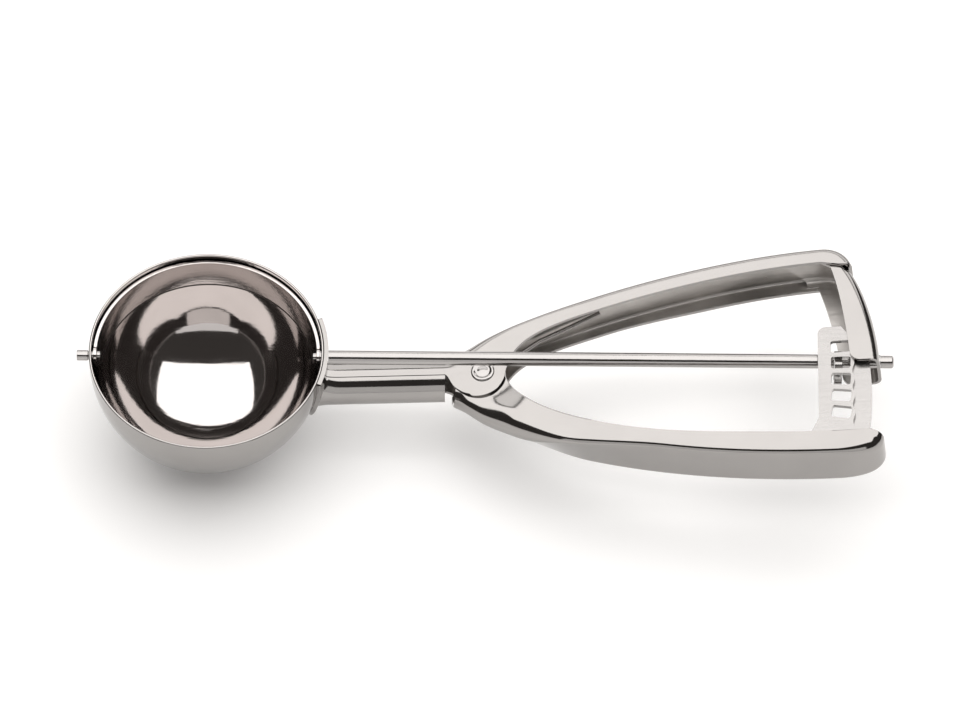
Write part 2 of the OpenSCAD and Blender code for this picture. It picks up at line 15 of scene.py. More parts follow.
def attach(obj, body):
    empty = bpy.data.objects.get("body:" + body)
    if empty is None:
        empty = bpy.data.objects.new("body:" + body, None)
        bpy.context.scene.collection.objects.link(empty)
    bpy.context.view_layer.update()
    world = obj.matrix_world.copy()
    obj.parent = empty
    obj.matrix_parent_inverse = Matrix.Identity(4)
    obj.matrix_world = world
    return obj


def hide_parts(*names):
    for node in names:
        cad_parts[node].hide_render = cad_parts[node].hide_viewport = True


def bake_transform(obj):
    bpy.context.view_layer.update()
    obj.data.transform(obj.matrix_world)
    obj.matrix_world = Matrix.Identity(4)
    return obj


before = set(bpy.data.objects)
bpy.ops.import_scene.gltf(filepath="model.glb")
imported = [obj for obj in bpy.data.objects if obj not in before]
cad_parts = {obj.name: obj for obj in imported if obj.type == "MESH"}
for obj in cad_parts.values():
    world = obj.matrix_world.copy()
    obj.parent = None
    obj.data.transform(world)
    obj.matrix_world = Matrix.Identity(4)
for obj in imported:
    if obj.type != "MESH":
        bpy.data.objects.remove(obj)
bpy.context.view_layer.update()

# %% [markdown]
# ## Sizes
# The sizes are millimetres, as on a workshop drawing. A piece is drawn in millimetres and scaled
# to metres when it is finished, so its numbers stay readable. x runs along the rod from the
# bowl's middle, y across, and z up from the bowl's widest circle. Each size stands in the cell
# that needs it first.

# %% Gaps that all pieces share
RUNNING = 0.05          # round a part that turns
SEAM = 0.02             # between parts that touch
print("gaps:", RUNNING, "and", SEAM, "mm")

# %% [markdown]
# ## Curves
# The handle's plan is drawn with cubic curves, which is how a pen tool draws them: a start, two
# handles and an end. `point_on` gives a point of such a curve, `along` its direction, and
# `beside` a point at a distance to its right.

# %% Curve helpers
def vec(*numbers):
    return Vector(numbers)

def mix(a, b, t):
    """What lies at share t of the way from a to b."""
    return a + (b - a) * t

def ease(t):
    """A smooth step: 0 up to t = 0, 1 from t = 1 on.

    ease((x - a) / b) is a step over the distance b that starts at x = a.
    """
    t = max(0.0, min(1.0, t))
    return t * t * (3 - 2 * t)

def point_on(line, t):
    s = 1 - t
    return line[0] * s**3 + line[1] * (3 * t * s * s) + line[2] * (3 * t * t * s) + line[3] * t**3

def along(line, t):
    s = 1 - t
    first, middle, last = line[1] - line[0], line[2] - line[1], line[3] - line[2]
    return (first * (3 * s * s) + middle * (6 * t * s) + last * (3 * t * t)).normalized()

def beside(line, t, distance):
    way = along(line, t)
    return point_on(line, t) + vec(way.y, -way.x) * distance

def ring_point(centre, r, angle):
    return centre + vec(cos(radians(angle)), sin(radians(angle))) * r

def span(a, b, n):
    """n + 1 values in even steps from a to b."""
    return [mix(a, b, i / n) for i in range(n + 1)]

def after(n):
    """The shares of n even steps, without the start."""
    return span(0, 1, n)[1:]

print("a smooth step at its quarters:", [round(ease(t), 3) for t in span(0, 1, 4)])

# %% [markdown]
# ## Making sheet metal
# A pressed part is one sheet with the same thickness everywhere. `loft` draws its first
# cross-section as a row of edges and extrudes that row from station to station, which is the
# bmesh way to sweep a changing profile. `plate` fills a flat outline instead. A Solidify modifier
# then gives the sheet its thickness on the inside, and a Bevel modifier breaks the cut edges,
# because a razor-sharp edge catches no light and looks false.

# %% Sheet swept through cross-sections
def loft(bm, rings, closed=False):
    """Sweeps a row of points through all the rings, which have the same number of points."""
    place = bm.verts.layers.int.get("place") or bm.verts.layers.int.new("place")
    row = [bm.verts.new(p) for p in rings[0]]
    for i, v in enumerate(row):
        v[place] = i
    edges = [bm.edges.new(pair) for pair in zip(row, row[1:])]
    if closed:
        edges.append(bm.edges.new((row[-1], row[0])))
    for ring in rings[1:]:
        made = bmesh.ops.extrude_edge_only(bm, edges=edges)["geom"]
        fresh = {g for g in made if isinstance(g, bmesh.types.BMVert)}
        edges = [g for g in made if isinstance(g, bmesh.types.BMEdge) and fresh.issuperset(g.verts)]
        for v in fresh:
            v.co = ring[v[place]]
    return bm

# %% Flat plate with holes
NEAR = 1e-5             # a cut takes points this near as lying on it

def cut(bm, point, way, clear_outer=False):
    """Cuts a mesh along a plane, and removes what lies beyond it if clear_outer is set."""
    geom = bm.verts[:] + bm.edges[:] + bm.faces[:]
    bmesh.ops.bisect_plane(bm, geom=geom, plane_co=point, plane_no=way, clear_outer=clear_outer, dist=NEAR)

def plate(outline, holes=(), cuts_x=(), cuts_y=()):
    """Fills an outline round its holes. The cuts make strips, so that the plate can be bent."""
    bm = bmesh.new()
    for loop in [outline, *holes]:
        row = [bm.verts.new((p[0], p[1], 0)) for p in loop]
        for pair in zip(row, row[1:] + row[:1]):
            bm.edges.new(pair)
    bmesh.ops.triangle_fill(bm, edges=bm.edges[:], use_beauty=True, use_dissolve=True)
    for x in cuts_x:
        cut(bm, (x, 0, 0), (1, 0, 0))
    for y in cuts_y:
        cut(bm, (0, y, 0), (0, 1, 0))
    bmesh.ops.recalc_face_normals(bm, faces=bm.faces[:])
    if sum(f.normal.z * f.calc_area() for f in bm.faces) < 0:
        bmesh.ops.reverse_faces(bm, faces=bm.faces[:])
    return bm

# %% Objects from meshes
def as_object(bm, name):
    """Turns a bmesh in millimetres into an object in metres."""
    bmesh.ops.transform(bm, matrix=Matrix.Scale(0.001, 4), verts=bm.verts[:])
    mesh = bpy.data.meshes.new(name)
    bm.to_mesh(mesh)
    bm.free()
    obj = bpy.data.objects.new(name, mesh)
    bpy.context.scene.collection.objects.link(obj)
    return obj

def bake(obj):
    """Makes what the modifiers show the object's own mesh."""
    bpy.context.view_layer.update()
    deps = bpy.context.evaluated_depsgraph_get()
    mesh = bpy.data.meshes.new_from_object(obj.evaluated_get(deps))
    obj.modifiers.clear()
    obj.data = mesh

def combine(obj, bm, how):
    """Adds a mesh to an object's solid, or takes it away."""
    tool = as_object(bm, "tool")
    step = obj.modifiers.new("combine", "BOOLEAN")
    step.operation = how
    step.solver = "EXACT"
    step.object = tool
    bake(obj)
    bpy.data.objects.remove(tool)

def drill(place, way, radius, length):
    """The round bar that a hole takes away."""
    bm = bmesh.new()
    turn = Vector((0, 0, 1)).rotation_difference(Vector(way)).to_matrix().to_4x4()
    bmesh.ops.create_cone(bm, cap_ends=True, segments=64, radius1=radius, radius2=radius,
                          depth=length, matrix=Matrix.Translation(place) @ turn)
    return bm

# %% Finish one piece
CORNER = 35             # degrees: an edge that turns more than this is broken
CREASE = 50             # degrees: an edge that turns more than this is shaded as a crease
FLAT_FIRST = 60         # how much the large flat faces rule the shading

def piece(bm, name, body, thick=0.0, edge=0.0, holes=(), join=(), inner=0):
    """Finishes a piece: thickness, welded parts, holes, broken edges, shading, place in the frame.

    inner is the material number of a sheet's inner side. A piece without a body is not
    attached to any body.
    """
    obj = as_object(bm, name)
    for _ in range(inner + 1):
        obj.data.materials.append(None)
    if thick:
        wall = obj.modifiers.new("sheet thickness", "SOLIDIFY")
        wall.thickness = thick / 1000
        wall.offset = -1
        wall.use_quality_normals = True
        wall.material_offset = inner
        bake(obj)
    for other in join:
        combine(obj, other, "UNION")
    for hole in holes:
        combine(obj, drill(*hole), "DIFFERENCE")
    if edge:
        broken = obj.modifiers.new("broken edge", "BEVEL")
        broken.width = edge / 1000
        broken.segments = 2
        broken.limit_method = "ANGLE"
        broken.angle_limit = radians(CORNER)
        broken.use_clamp_overlap = True
        broken.miter_outer = "MITER_ARC"
        bake(obj)
    obj.data.shade_smooth()
    obj.data.set_sharp_from_angle(angle=radians(CREASE))
    even = obj.modifiers.new("even shading", "WEIGHTED_NORMAL")
    even.keep_sharp = True
    even.weight = FLAT_FIRST
    bake(obj)
    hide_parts(name.removesuffix("_fine"))
    if body:
        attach(obj, body)
    print(name, len(obj.data.polygons), "faces on", body or "two bodies")
    return obj

# %% [markdown]
# ## The bowl
# The bowl is spun from a disc of sheet over a form, so it is modelled the same way: its
# cross-section is drawn once and spun round. The lip of the straight rim is rounded and
# polished, which gives the thin bright line round the mouth.

# %% Spin a profile
DOUBLE = 1e-4           # points nearer than this are one point

def spin_shape(profile, way=(0, 0, 1), steps=160):
    """Spins (radius, height) points into a closed shape, with its axis turned to way."""
    bm = bmesh.new()
    row = [bm.verts.new((r, 0, z)) for r, z in profile]
    edges = [bm.edges.new(pair) for pair in zip(row, row[1:])]
    bmesh.ops.spin(bm, geom=row + edges, cent=(0, 0, 0), axis=(0, 0, 1), angle=2 * pi, steps=steps,
                   use_merge=True)
    bmesh.ops.remove_doubles(bm, verts=bm.verts[:], dist=DOUBLE)
    bmesh.ops.recalc_face_normals(bm, faces=bm.faces[:])
    turn = Vector((0, 0, 1)).rotation_difference(Vector(way)).to_matrix()
    bmesh.ops.rotate(bm, verts=bm.verts[:], cent=(0, 0, 0), matrix=turn)
    return bm

# %% Bowl
BOWL_R = 33.0           # outside
BOWL_WALL = 0.8
RIM_H = 3.0             # straight rim above the half ball
ROD_D = 4.0
PIN_NECK_D = 2.6        # the front pin, where it runs in the bowl
DRILL_L = 8             # long enough to pass the wall
BOWL_STEPS = 48

def bowl_profile():
    lip, inner_r = BOWL_WALL / 2, BOWL_R - BOWL_WALL
    outside = [(BOWL_R * sin(a), -BOWL_R * cos(a)) for a in span(0, pi / 2, BOWL_STEPS)]
    top = [(BOWL_R - lip + lip * cos(a), RIM_H - lip + lip * sin(a)) for a in span(0, pi, 8)]
    inside = [(inner_r * sin(a), -inner_r * cos(a)) for a in span(pi / 2, 0, BOWL_STEPS)]
    return outside + top + inside

rod_hole = ((BOWL_R, 0, 0), (1, 0, 0), ROD_D / 2 + RUNNING, DRILL_L)
pin_hole = ((-BOWL_R, 0, 0), (1, 0, 0), PIN_NECK_D / 2 + RUNNING, DRILL_L)
bowl = piece(spin_shape(bowl_profile()), "bowl_fine", "handle",
             holes=[rod_hole, pin_hole], inner=1)
for face in bowl.data.polygons:
    x, y, z = face.center * 1000
    face.material_index = int(sqrt(x * x + y * y + min(z, 0) ** 2) < BOWL_R - BOWL_WALL / 2)

# %% [markdown]
# ## The saddle plate
# A thick little plate is welded between the thin bowl and the neck, to spread the load. It is a
# flat blank with a round lower end, so it starts as a flat outline, is cut into small squares,
# and is then pressed onto the bowl's outside by moving each point out to the bowl's surface.

# %% Saddle plate
COLLAR_T = 1.2
COLLAR_W = 23.4
COLLAR_DROP = 8.3       # from the bowl's middle down to the centre of the round end
COLLAR_TOP = RIM_H - 0.1
COLLAR_CORNER = 0.4

def on_bowl(bm, radius):
    """Presses a flat plate onto the outside of a ball with a straight rim."""
    for v in bm.verts:
        y, z = v.co.x, v.co.y
        v.co = (sqrt(max(radius**2 - y * y - min(z, 0) ** 2, 0)), y, z)

collar_half = COLLAR_W / 2
collar_outline = [vec(collar_half, COLLAR_TOP - COLLAR_CORNER), vec(collar_half - COLLAR_CORNER, COLLAR_TOP),
                  vec(COLLAR_CORNER - collar_half, COLLAR_TOP), vec(-collar_half, COLLAR_TOP - COLLAR_CORNER)]
collar_outline += [ring_point(vec(0, -COLLAR_DROP), collar_half, a) for a in span(180, 360, 48)]
collar_bm = plate(collar_outline, cuts_x=range(-11, 12), cuts_y=range(-19, 3))
collar_out = BOWL_R + SEAM + COLLAR_T
on_bowl(collar_bm, collar_out)
collar = piece(collar_bm, "bowl_collar_fine", "handle", thick=COLLAR_T, edge=0.3,
               holes=[rod_hole])

# %% [markdown]
# ## The handle frame
# The neck and the fixed arm are one sheet. It is rolled to a tube behind the bowl, where its two
# edges meet in a fine seam, and then it opens into two ears for the lever's rivet and a channel
# for the fingers. The handle has a frame of its own, because it is tilted against the rod: its
# origin is the pivot, x runs to the rear and y to the fixed arm's side.

# %% Where the handle sits
PIVOT_X = 78.3
PIVOT_Y = 2.1           # the rod passes this far beside the pivot
PIVOT_DROP = 10.8
HANDLE_TILT = 6.3       # degrees: the grip rises to the rear
tilt = Matrix.Rotation(radians(-HANDLE_TILT), 4, "Y")
IN_HANDLE = Matrix.Translation((PIVOT_X, -PIVOT_Y, -PIVOT_DROP)) @ tilt
TILT_COS, TILT_SIN = cos(radians(HANDLE_TILT)), sin(radians(HANDLE_TILT))

def in_handle(points):
    return [IN_HANDLE @ Vector(p) for p in points]

rivet_at = IN_HANDLE.translation
rivet_way = IN_HANDLE.to_3x3() @ Vector((0, 0, 1))
print("pivot at", [round(c, 1) for c in rivet_at], "mm")

# %% [markdown]
# ## One cross-section of a bent channel
# A cross-section is a row of points: upper free edge, bend, back, bend, lower free edge. The
# points crowd at the free edge, where the press has rolled the ear's edge down, because a round
# edge needs them there and a flat wall doesn't.

# %% Parts of a cross-section
BEND_STEPS = 8
EDGE_STEPS = (0, 0.06, 0.12, 0.19, 0.27, 0.36, 0.46, 0.57, 0.7, 0.84)   # shares of a wall's width
ROLL_R = 1.6
ROLL_W = 1.13           # the rolled edge reaches this far in

def unmoved(p):
    return 0.0

def rolled(z, away, rim):
    """The height of a point at the distance away from the free edge. rim is 1 for a full roll."""
    return z - rim * (ROLL_R - sqrt(max(ROLL_R * ROLL_R - max(0.0, ROLL_W - away) ** 2, 0)))

def flange(o, t, z, r, rim=0.0, dip=unmoved):
    """The wall at height z, from the free edge at t to the bend of radius r at the back, o."""
    root = o + (t - o).normalized() * r
    plan = [mix(t, root, f) for f in EDGE_STEPS]
    return [(p.x, p.y, rolled(z, (p - t).length, rim) - dip(p)) for p in plan]

def bend(o, t, z, r, start, end):
    """The bend at the back, o, round height z, from the angle start to the angle end."""
    way = (t - o).normalized()
    row = []
    for a in span(start, end, BEND_STEPS):
        p = o + way * (r + r * cos(radians(a)))
        row.append((p.x, p.y, z + r * sin(radians(a))))
    return row

# %% A whole cross-section
def rib(o1, o2, t1, t2, z1, z2, r, low_r=None, rim=0.0, dip=unmoved):
    """A channel's cross-section, with its walls at heights z1 and z2.

    o1 and o2 are the back's plan points at the top and the bottom: where they differ, the back
    leans. t1 and t2 are the free edges' plan points. dip says how far the upper wall is set down
    at a plan point, and the upper bend, of radius r, goes down with it. low_r is the lower bend's.
    """
    low_r = low_r or r
    way = (t1 - o1).normalized()
    top = z1 - dip(o1 + way * r)
    inward = (o2 - o1).dot(way) + low_r - r
    height = top - r - z2 - low_r
    lean = degrees(atan2(inward, height) + asin((r - low_r) / sqrt(inward**2 + height**2)))
    upper = flange(o1, t1, z1, r, rim, dip) + bend(o1, t1, top - r, r, 90, 180 + lean)
    lower = bend(o2, t2, z2 + low_r, low_r, 180 + lean, 270) + flange(o2, t2, z2, low_r)[::-1]
    return upper + lower

# %% [markdown]
# ## The plan of the fixed arm
# Seen from above the handle, the arm is a few pen curves: the neck's side, the arm's long back,
# its corner, the two ears and the fork between them. The free edges have curves of their own, and
# the lower ear is smaller than the upper one.

# %% Sizes of neck and arm
NECK_D = 12.3
NECK_DROP = 13.1        # from the bowl's widest circle down to the neck's middle
NECK_RISE = 3.3         # degrees: the neck rises to the rear
NECK_GAP = 11.4         # the tube ends this far before the pivot
SHEET = 1.0
CHANNEL_H = 15.2        # over both walls
BEND_R = 1.8            # outside
ARM_DEPTH = 5.1         # width of the arm's walls
GRIP_L = 95.2           # from the pivot back to the arm's corner
ARM_RISE = 36.2         # and from the pivot across to it
EAR_R, EAR_LOW_R = 7.9, 4.5
RIVET_D = 4.0
HALF_H = CHANNEL_H / 2
NECK_R = NECK_D / 2
UNIT = GRIP_L / 100     # the handles of the pen curves are given in this
neck_end_x = PIVOT_X - NECK_GAP
neck_end_z = -NECK_DROP + (neck_end_x - BOWL_R) * tan(radians(NECK_RISE))
neck_lift = neck_end_z + PIVOT_DROP + NECK_GAP * tan(radians(HANDLE_TILT))
print("the neck ends", round(neck_lift, 2), "mm above the middle of the channel")

# %% Back of the fixed arm
def pen_line(start, lead, trail, end):
    """A curve whose handles are given in units, forward from its start and back from its end."""
    return [start, start + UNIT * vec(*lead), end - UNIT * vec(*trail), end]

def pen_corner(start, *steps):
    """A curve whose points are all given in units from its start."""
    return [start] + [start + UNIT * vec(*step) for step in steps]

neck_side = PIVOT_Y + NECK_R
arm_root = vec(-NECK_GAP * 0.06, PIVOT_Y + NECK_R * 1.545)
neck_line = [vec(-NECK_GAP, neck_side), vec(-NECK_GAP * 0.66, neck_side), arm_root - NECK_R * vec(0.54, 0.24),
             arm_root]
arm_end = vec(GRIP_L, ARM_RISE)
arm_line = pen_line(arm_root, (21.74, 10.71), (36.97, 1.68), arm_end)
arm_corner = pen_corner(arm_end, (4.83, 0.21), (8.19, -2.42), (9.45, -6.51))
arm_edge_end = beside(arm_line, 1, ARM_DEPTH)
corner_edge = arm_end + UNIT * vec(5.46, -6.3)
print("the arm's back ends", round(arm_end.y, 1), "mm beside the pivot")

# %% Ears of the fixed arm
EAR_FROM, EAR_BACK, EAR_TO = 215, 320, 354      # degrees round the ears, from the neck to the fork
SEAM_TURN = 0.31        # the seam lies this share of the radius beside the tube's top
ear_c, ear_low_c = EAR_R * vec(-0.19, 0.01), EAR_LOW_R * vec(-0.13, 0.07)

def on_ear(angle):
    return ring_point(ear_c, EAR_R, angle)

def on_low_ear(angle):
    return ring_point(ear_low_c, EAR_LOW_R, angle)

ear_start = vec(-NECK_GAP, PIVOT_Y - NECK_R * SEAM_TURN)
low_start = vec(-NECK_GAP, PIVOT_Y - NECK_R * 0.02)
ear_lead = [ear_start, ear_start + NECK_R * vec(0.29, -0.02),
            on_ear(EAR_FROM) - EAR_R * vec(0.2, -0.25), on_ear(EAR_FROM)]
low_lead = [low_start, low_start + NECK_R * vec(0.45, -0.3),
            on_low_ear(EAR_FROM) - EAR_LOW_R * vec(0.58, -0.4), on_low_ear(EAR_FROM)]
print("ears", 2 * EAR_R, "and", 2 * EAR_LOW_R, "mm across")

# %% Fork of the fixed arm
FORK_T = 0.39           # share of the arm's back where the fork's edge has become the arm's edge
LOW_TRIM = ARM_DEPTH * 0.18     # the lower wall is this much narrower there
fork_end = beside(arm_line, FORK_T, ARM_DEPTH)
low_fork_end = beside(arm_line, FORK_T, ARM_DEPTH - LOW_TRIM)
pull = along(arm_line, FORK_T) * 15.76 * UNIT
fork_line = [on_ear(EAR_TO), on_ear(EAR_TO) + UNIT * vec(1.05, 11.87), fork_end - pull, fork_end]
low_fork_line = [on_low_ear(EAR_TO), on_low_ear(EAR_TO) + UNIT * vec(0.84, 12.6),
                 low_fork_end - pull, low_fork_end]
print("the fork's edge joins the arm's edge", round(fork_end.x, 1), "mm behind the pivot")

# %% Cross-sections of the fixed arm
LEAD_T, BACK_T = 0.3, 0.06      # shares of neck and arm line passed at EAR_FROM and at EAR_TO

def arm_open(o, t):
    """0 where the sheet is a tube, 1 where it is an open channel."""
    return ease((mix(o.x, t.x, 0.75) + NECK_GAP) / (NECK_GAP * 0.65))

def arm_rib(o, t1, t2):
    z1 = mix(neck_lift + NECK_R, HALF_H, arm_open(o, t1))
    z2 = mix(neck_lift - NECK_R, -HALF_H, arm_open(o, t2))
    x = (o.x + t1.x) / 2
    r = mix(NECK_R, BEND_R, ease((x + NECK_GAP) / (NECK_GAP * 1.8)))
    rim = ease((x + NECK_GAP * 0.8) / 4) * (1 - ease((x - EAR_R * 0.2) / 5))
    return in_handle(rib(o, o, t1, t2, z1, z2, min(r, (z1 - z2) / 2 - 0.2), rim=rim))

arm_ribs = [arm_rib(point_on(neck_line, LEAD_T * f), point_on(ear_lead, f), point_on(low_lead, f))
            for f in span(0, 1, 8)]
for f in after(24):
    turn = mix(EAR_FROM, EAR_BACK, f)
    arm_ribs.append(arm_rib(point_on(neck_line, mix(LEAD_T, 1, f)), on_ear(turn), on_low_ear(turn)))
for f in after(8):
    turn = mix(EAR_BACK, EAR_TO, f)
    arm_ribs.append(arm_rib(point_on(arm_line, BACK_T * f), on_ear(turn), on_low_ear(turn)))
for f in after(32):
    back_point = point_on(arm_line, mix(BACK_T, FORK_T, f))
    arm_ribs.append(arm_rib(back_point, point_on(fork_line, f), point_on(low_fork_line, f)))
for t in span(FORK_T, 1, 28)[1:]:
    trim = LOW_TRIM * (1 - ease((point_on(arm_line, t).x / GRIP_L - 0.35) / 0.3))
    edges = beside(arm_line, t, ARM_DEPTH), beside(arm_line, t, ARM_DEPTH - trim)
    arm_ribs.append(arm_rib(point_on(arm_line, t), *edges))
for f in after(14):
    edge = mix(arm_edge_end, corner_edge, f)
    arm_ribs.append(arm_rib(point_on(arm_corner, f), edge, edge))
print("fixed arm:", len(arm_ribs), "cross-sections of", len(arm_ribs[0]), "points")

# %% [markdown]
# ## The neck
# The neck is a tube that flares a little where it is welded to the saddle plate. Its front end
# follows the plate's curve: each line of the tube is drawn back until it meets the ball. The
# arm's side of the tube has the same number of points as a cross-section of the arm, so that one
# sheet runs through both.

# %% Neck tube
FLARE = 0.9             # the radius grows by this towards the saddle plate
FLARE_SHARE = 0.12      # over this share of the neck's length
PAST = 0.02             # radians: the arm's half of the tube ends this far past its lowest line
SLIT = 0.035            # radians: the seam on top stays open by this
neck_way = Vector((cos(radians(NECK_RISE)), 0, sin(radians(NECK_RISE))))
neck_up = Vector((-neck_way.z, 0, neck_way.x))

def neck_point(angle, share):
    """Angle 0 is on the arm's side and pi / 2 on top. Share 0 is at the saddle plate, 1 at the arm."""
    flare = FLARE * max(0.0, 1 - share / FLARE_SHARE) ** 2
    side = Vector((0, 1, 0)) * cos(angle) + neck_up * sin(angle)
    foot = Vector((BOWL_R, 0, -NECK_DROP)) + side * (NECK_R + flare)
    ahead = foot.dot(neck_way)
    reach = -ahead + sqrt(ahead ** 2 - foot.length_squared + (collar_out + SEAM) ** 2)
    start, end = foot + neck_way * reach, foot + neck_way * ((neck_end_x - foot.x) / neck_way.x)
    return mix(start, end, share)

shares = [0, 0.02, 0.04, 0.07, 0.1, 0.14] + span(0.2, 1, 12)
seam_angle = acos(-SEAM_TURN)
under = -pi / 2
arm_angles = [mix(seam_angle, pi / 2, f) for f in EDGE_STEPS]
arm_angles += span(pi / 2, 0, BEND_STEPS) + span(0, under, BEND_STEPS)
arm_angles += span(under, under - PAST, len(EDGE_STEPS))[1:]
lever_angles = span(under - PAST, seam_angle - 2 * pi + SLIT, 20)
arm_side = [[neck_point(a, s) for a in arm_angles] for s in shares]
lever_side = [[neck_point(a, s) for a in lever_angles] for s in shares]
print("neck:", len(shares), "rings of", len(arm_angles), "and", len(lever_angles), "points")

# %% Handle frame
JOIN = 0.002            # the halves of the tube are joined where their points are this near
frame_bm = loft(bmesh.new(), arm_side + arm_ribs[1:])
loft(frame_bm, lever_side)
bmesh.ops.remove_doubles(frame_bm, verts=frame_bm.verts[:], dist=JOIN)
bmesh.ops.recalc_face_normals(frame_bm, faces=frame_bm.faces[:])
frame_piece = piece(frame_bm, "handle_frame_fine", "handle", thick=SHEET, edge=0.22,
                    holes=[(rivet_at, rivet_way, RIVET_D / 2 + SEAM, 2 * CHANNEL_H)], inner=1)

# %% [markdown]
# ## The squeeze lever
# The lever is a second channel, nested with its ears inside the frame's ears. Its nose is cut off
# at a slant, so it clears the neck when the handle is squeezed. Its back leans outwards near the
# pivot, with wide bends, and the upper wall is set down where it slides under the frame's ear.

# %% Plan of the lever
LEVER_FALL = 32.9       # from the pivot across to the lever's corner
LEVER_DEPTH, LEVER_ROOT = 6.9, 4.9      # width of its walls at the rear and at the fork
LEVER_EAR_R = 6.3
EAR_GAP = 0.1           # between the lever's ears and what they slide on
EAR_PLAY = 0.15         # more room under the frame's ears
LEVER_HALF = HALF_H - SHEET - EAR_GAP - EAR_PLAY
LEVER_NOSE_T, LEVER_EAR_T, LEVER_FORK_T = 0.03, 0.2, 0.46
LEVER_EAR_FROM, LEVER_EAR_TO = 160, -7
lever_tip = vec(-NECK_GAP * 0.956, -NECK_R * 0.49)
lever_end = vec(GRIP_L + 4.52 * UNIT, -LEVER_FALL)
lever_line = pen_line(lever_tip, (22.48, -18.49), (49.9, -0.42), lever_end)
lever_corner = pen_corner(lever_end, (6.83, -0.11), (12.71, 1.26), (13.24, 5.88))
lever_corner_edge = lever_end + UNIT * vec(9.35, 7.35)
lever_edge_end = beside(lever_line, 1, -LEVER_DEPTH)

def on_lever_ear(angle):
    return ring_point(vec(0, 0), LEVER_EAR_R, angle)

nose_edge = vec(lever_tip.x * 0.8, LEVER_EAR_R * 0.35)
lever_fork_start = on_lever_ear(LEVER_EAR_TO)
lever_fork_end = beside(lever_line, LEVER_FORK_T, -LEVER_ROOT)
lever_pull = along(lever_line, LEVER_FORK_T) * 13.66 * UNIT
lever_fork = [lever_fork_start, lever_fork_start + UNIT * vec(2.73, -9.14), lever_fork_end - lever_pull,
              lever_fork_end]
print("the lever's back ends", round(lever_end.y, 1), "mm beside the pivot")

# %% How the lever is pressed
NOSE_HALF, NOSE_LIFT = LEVER_HALF * 0.746, neck_lift * 0.65
LEAN_NOSE, LEAN_PIVOT = 4.0, 5.0        # how far the back leans
LEAN_LOW = 1.9          # how much of that lies inwards at the bottom
BEND_NOSE, BEND_PIVOT = 3.8, 4.8        # radii of the upper bend

def lever_lean(x):
    """How far the back stands out at the top and in at the bottom, at a distance x behind the pivot."""
    low = LEAN_LOW * (1 - ease((x - 4) / 26))
    total = mix(mix(LEAN_NOSE, LEAN_PIVOT, ease((x + 5) / 15)), 0, ease((x - 8) / 44))
    return total - low, low * ease((x + 10) / 7)

def under_ear(depth):
    """The dip of the upper wall under the frame's ear, with a soft step round it."""
    return lambda p: depth * (1 - ease(((p - ear_c).length - EAR_R - 0.3) / 10.0))

def lever_reach(t):
    """The width of the walls along the lever's back."""
    return mix(LEVER_ROOT, LEVER_DEPTH, ease((point_on(lever_line, t).x / GRIP_L - 0.35) / 0.525))

for x in (-8, 5, 20, 60):
    print("at", x, "mm the lever's back leans by", round(sum(lever_lean(x)), 1), "mm")

# %% Cross-sections of the lever
def lever_rib(line, f, t, tail=0.0):
    """tail is 0 along the lever and grows to 1 round its rear corner, where the bends widen."""
    o = point_on(line, f)
    x = (o.x + t.x) / 2
    nose = x - lever_tip.x
    out, back_in = lever_lean(x)
    half = mix(NOSE_HALF, LEVER_HALF, ease(nose / (EAR_R * 1.13)))
    top = half + (HALF_H - LEVER_HALF) * ease((x + 4) / (EAR_R * 1.1))
    low = half + (HALF_H - LEVER_HALF) * ease((x - EAR_R * 0.97) / (EAR_R * 0.5))
    lift = NOSE_LIFT * (1 - ease(nose / (EAR_R * 0.82)))
    corner_r = BEND_R * (1 + 1.9 * tail)
    wide = mix(mix(BEND_NOSE, BEND_PIVOT, ease((x + 6) / 14)), corner_r, ease((x - 9) / 17))
    r = min(wide, half - 0.3, 0.8 * (t - o).length)
    low_r = corner_r * 0.6 + 0.7
    o1, o2 = beside(line, f, out), beside(line, f, -back_in)
    dip = under_ear(top - half)
    return in_handle(rib(o1, o2, t, t, lift + top, lift - low, r, low_r, dip=dip))

ear_point = on_lever_ear(LEVER_EAR_FROM)
lever_ribs = [lever_rib(lever_line, LEVER_NOSE_T * f, mix(nose_edge, ear_point, f)) for f in span(0, 1, 5)]
for f in after(33):
    ear_point = on_lever_ear(mix(LEVER_EAR_FROM, LEVER_EAR_TO, f))
    lever_ribs.append(lever_rib(lever_line, mix(LEVER_NOSE_T, LEVER_EAR_T, f), ear_point))
for f in after(30):
    lever_ribs.append(lever_rib(lever_line, mix(LEVER_EAR_T, LEVER_FORK_T, f), point_on(lever_fork, f)))
for t in span(LEVER_FORK_T, 1, 28)[1:]:
    lever_ribs.append(lever_rib(lever_line, t, beside(lever_line, t, -lever_reach(t))))
for f in after(20):
    lever_ribs.append(lever_rib(lever_corner, f, mix(lever_edge_end, lever_corner_edge, f), f))
print("lever:", len(lever_ribs), "cross-sections of", len(lever_ribs[0]), "points")

# %% Squeeze lever
def cut_off(bm, top_x, low_x):
    """Cuts off what lies beyond the slant from top_x at the channel's top to low_x at its bottom."""
    point, way = Vector((top_x, 0, HALF_H)), Vector((-CHANNEL_H, 0, top_x - low_x))
    cut(bm, IN_HANDLE @ point, IN_HANDLE.to_3x3() @ way, clear_outer=True)

lever_bm = loft(bmesh.new(), lever_ribs)
cut_off(lever_bm, lever_tip.x * 0.69, lever_tip.x * 0.98)
bmesh.ops.recalc_face_normals(lever_bm, faces=lever_bm.faces[:])
lever_piece = piece(lever_bm, "squeeze_lever_fine", "lever", thick=SHEET, edge=0.22,
                    holes=[(rivet_at, rivet_way, RIVET_D / 2 + RUNNING, 2 * CHANNEL_H)], inner=1)

# %% [markdown]
# ## The rear bracket
# The bracket is folded from thinner sheet. It nests inside the arm, turns the corner, and drops
# past the rod, whose tail runs in a hole in its back. Its front end is cut at a slant, like the
# lever's nose, and its walls have round corners at the lower end.

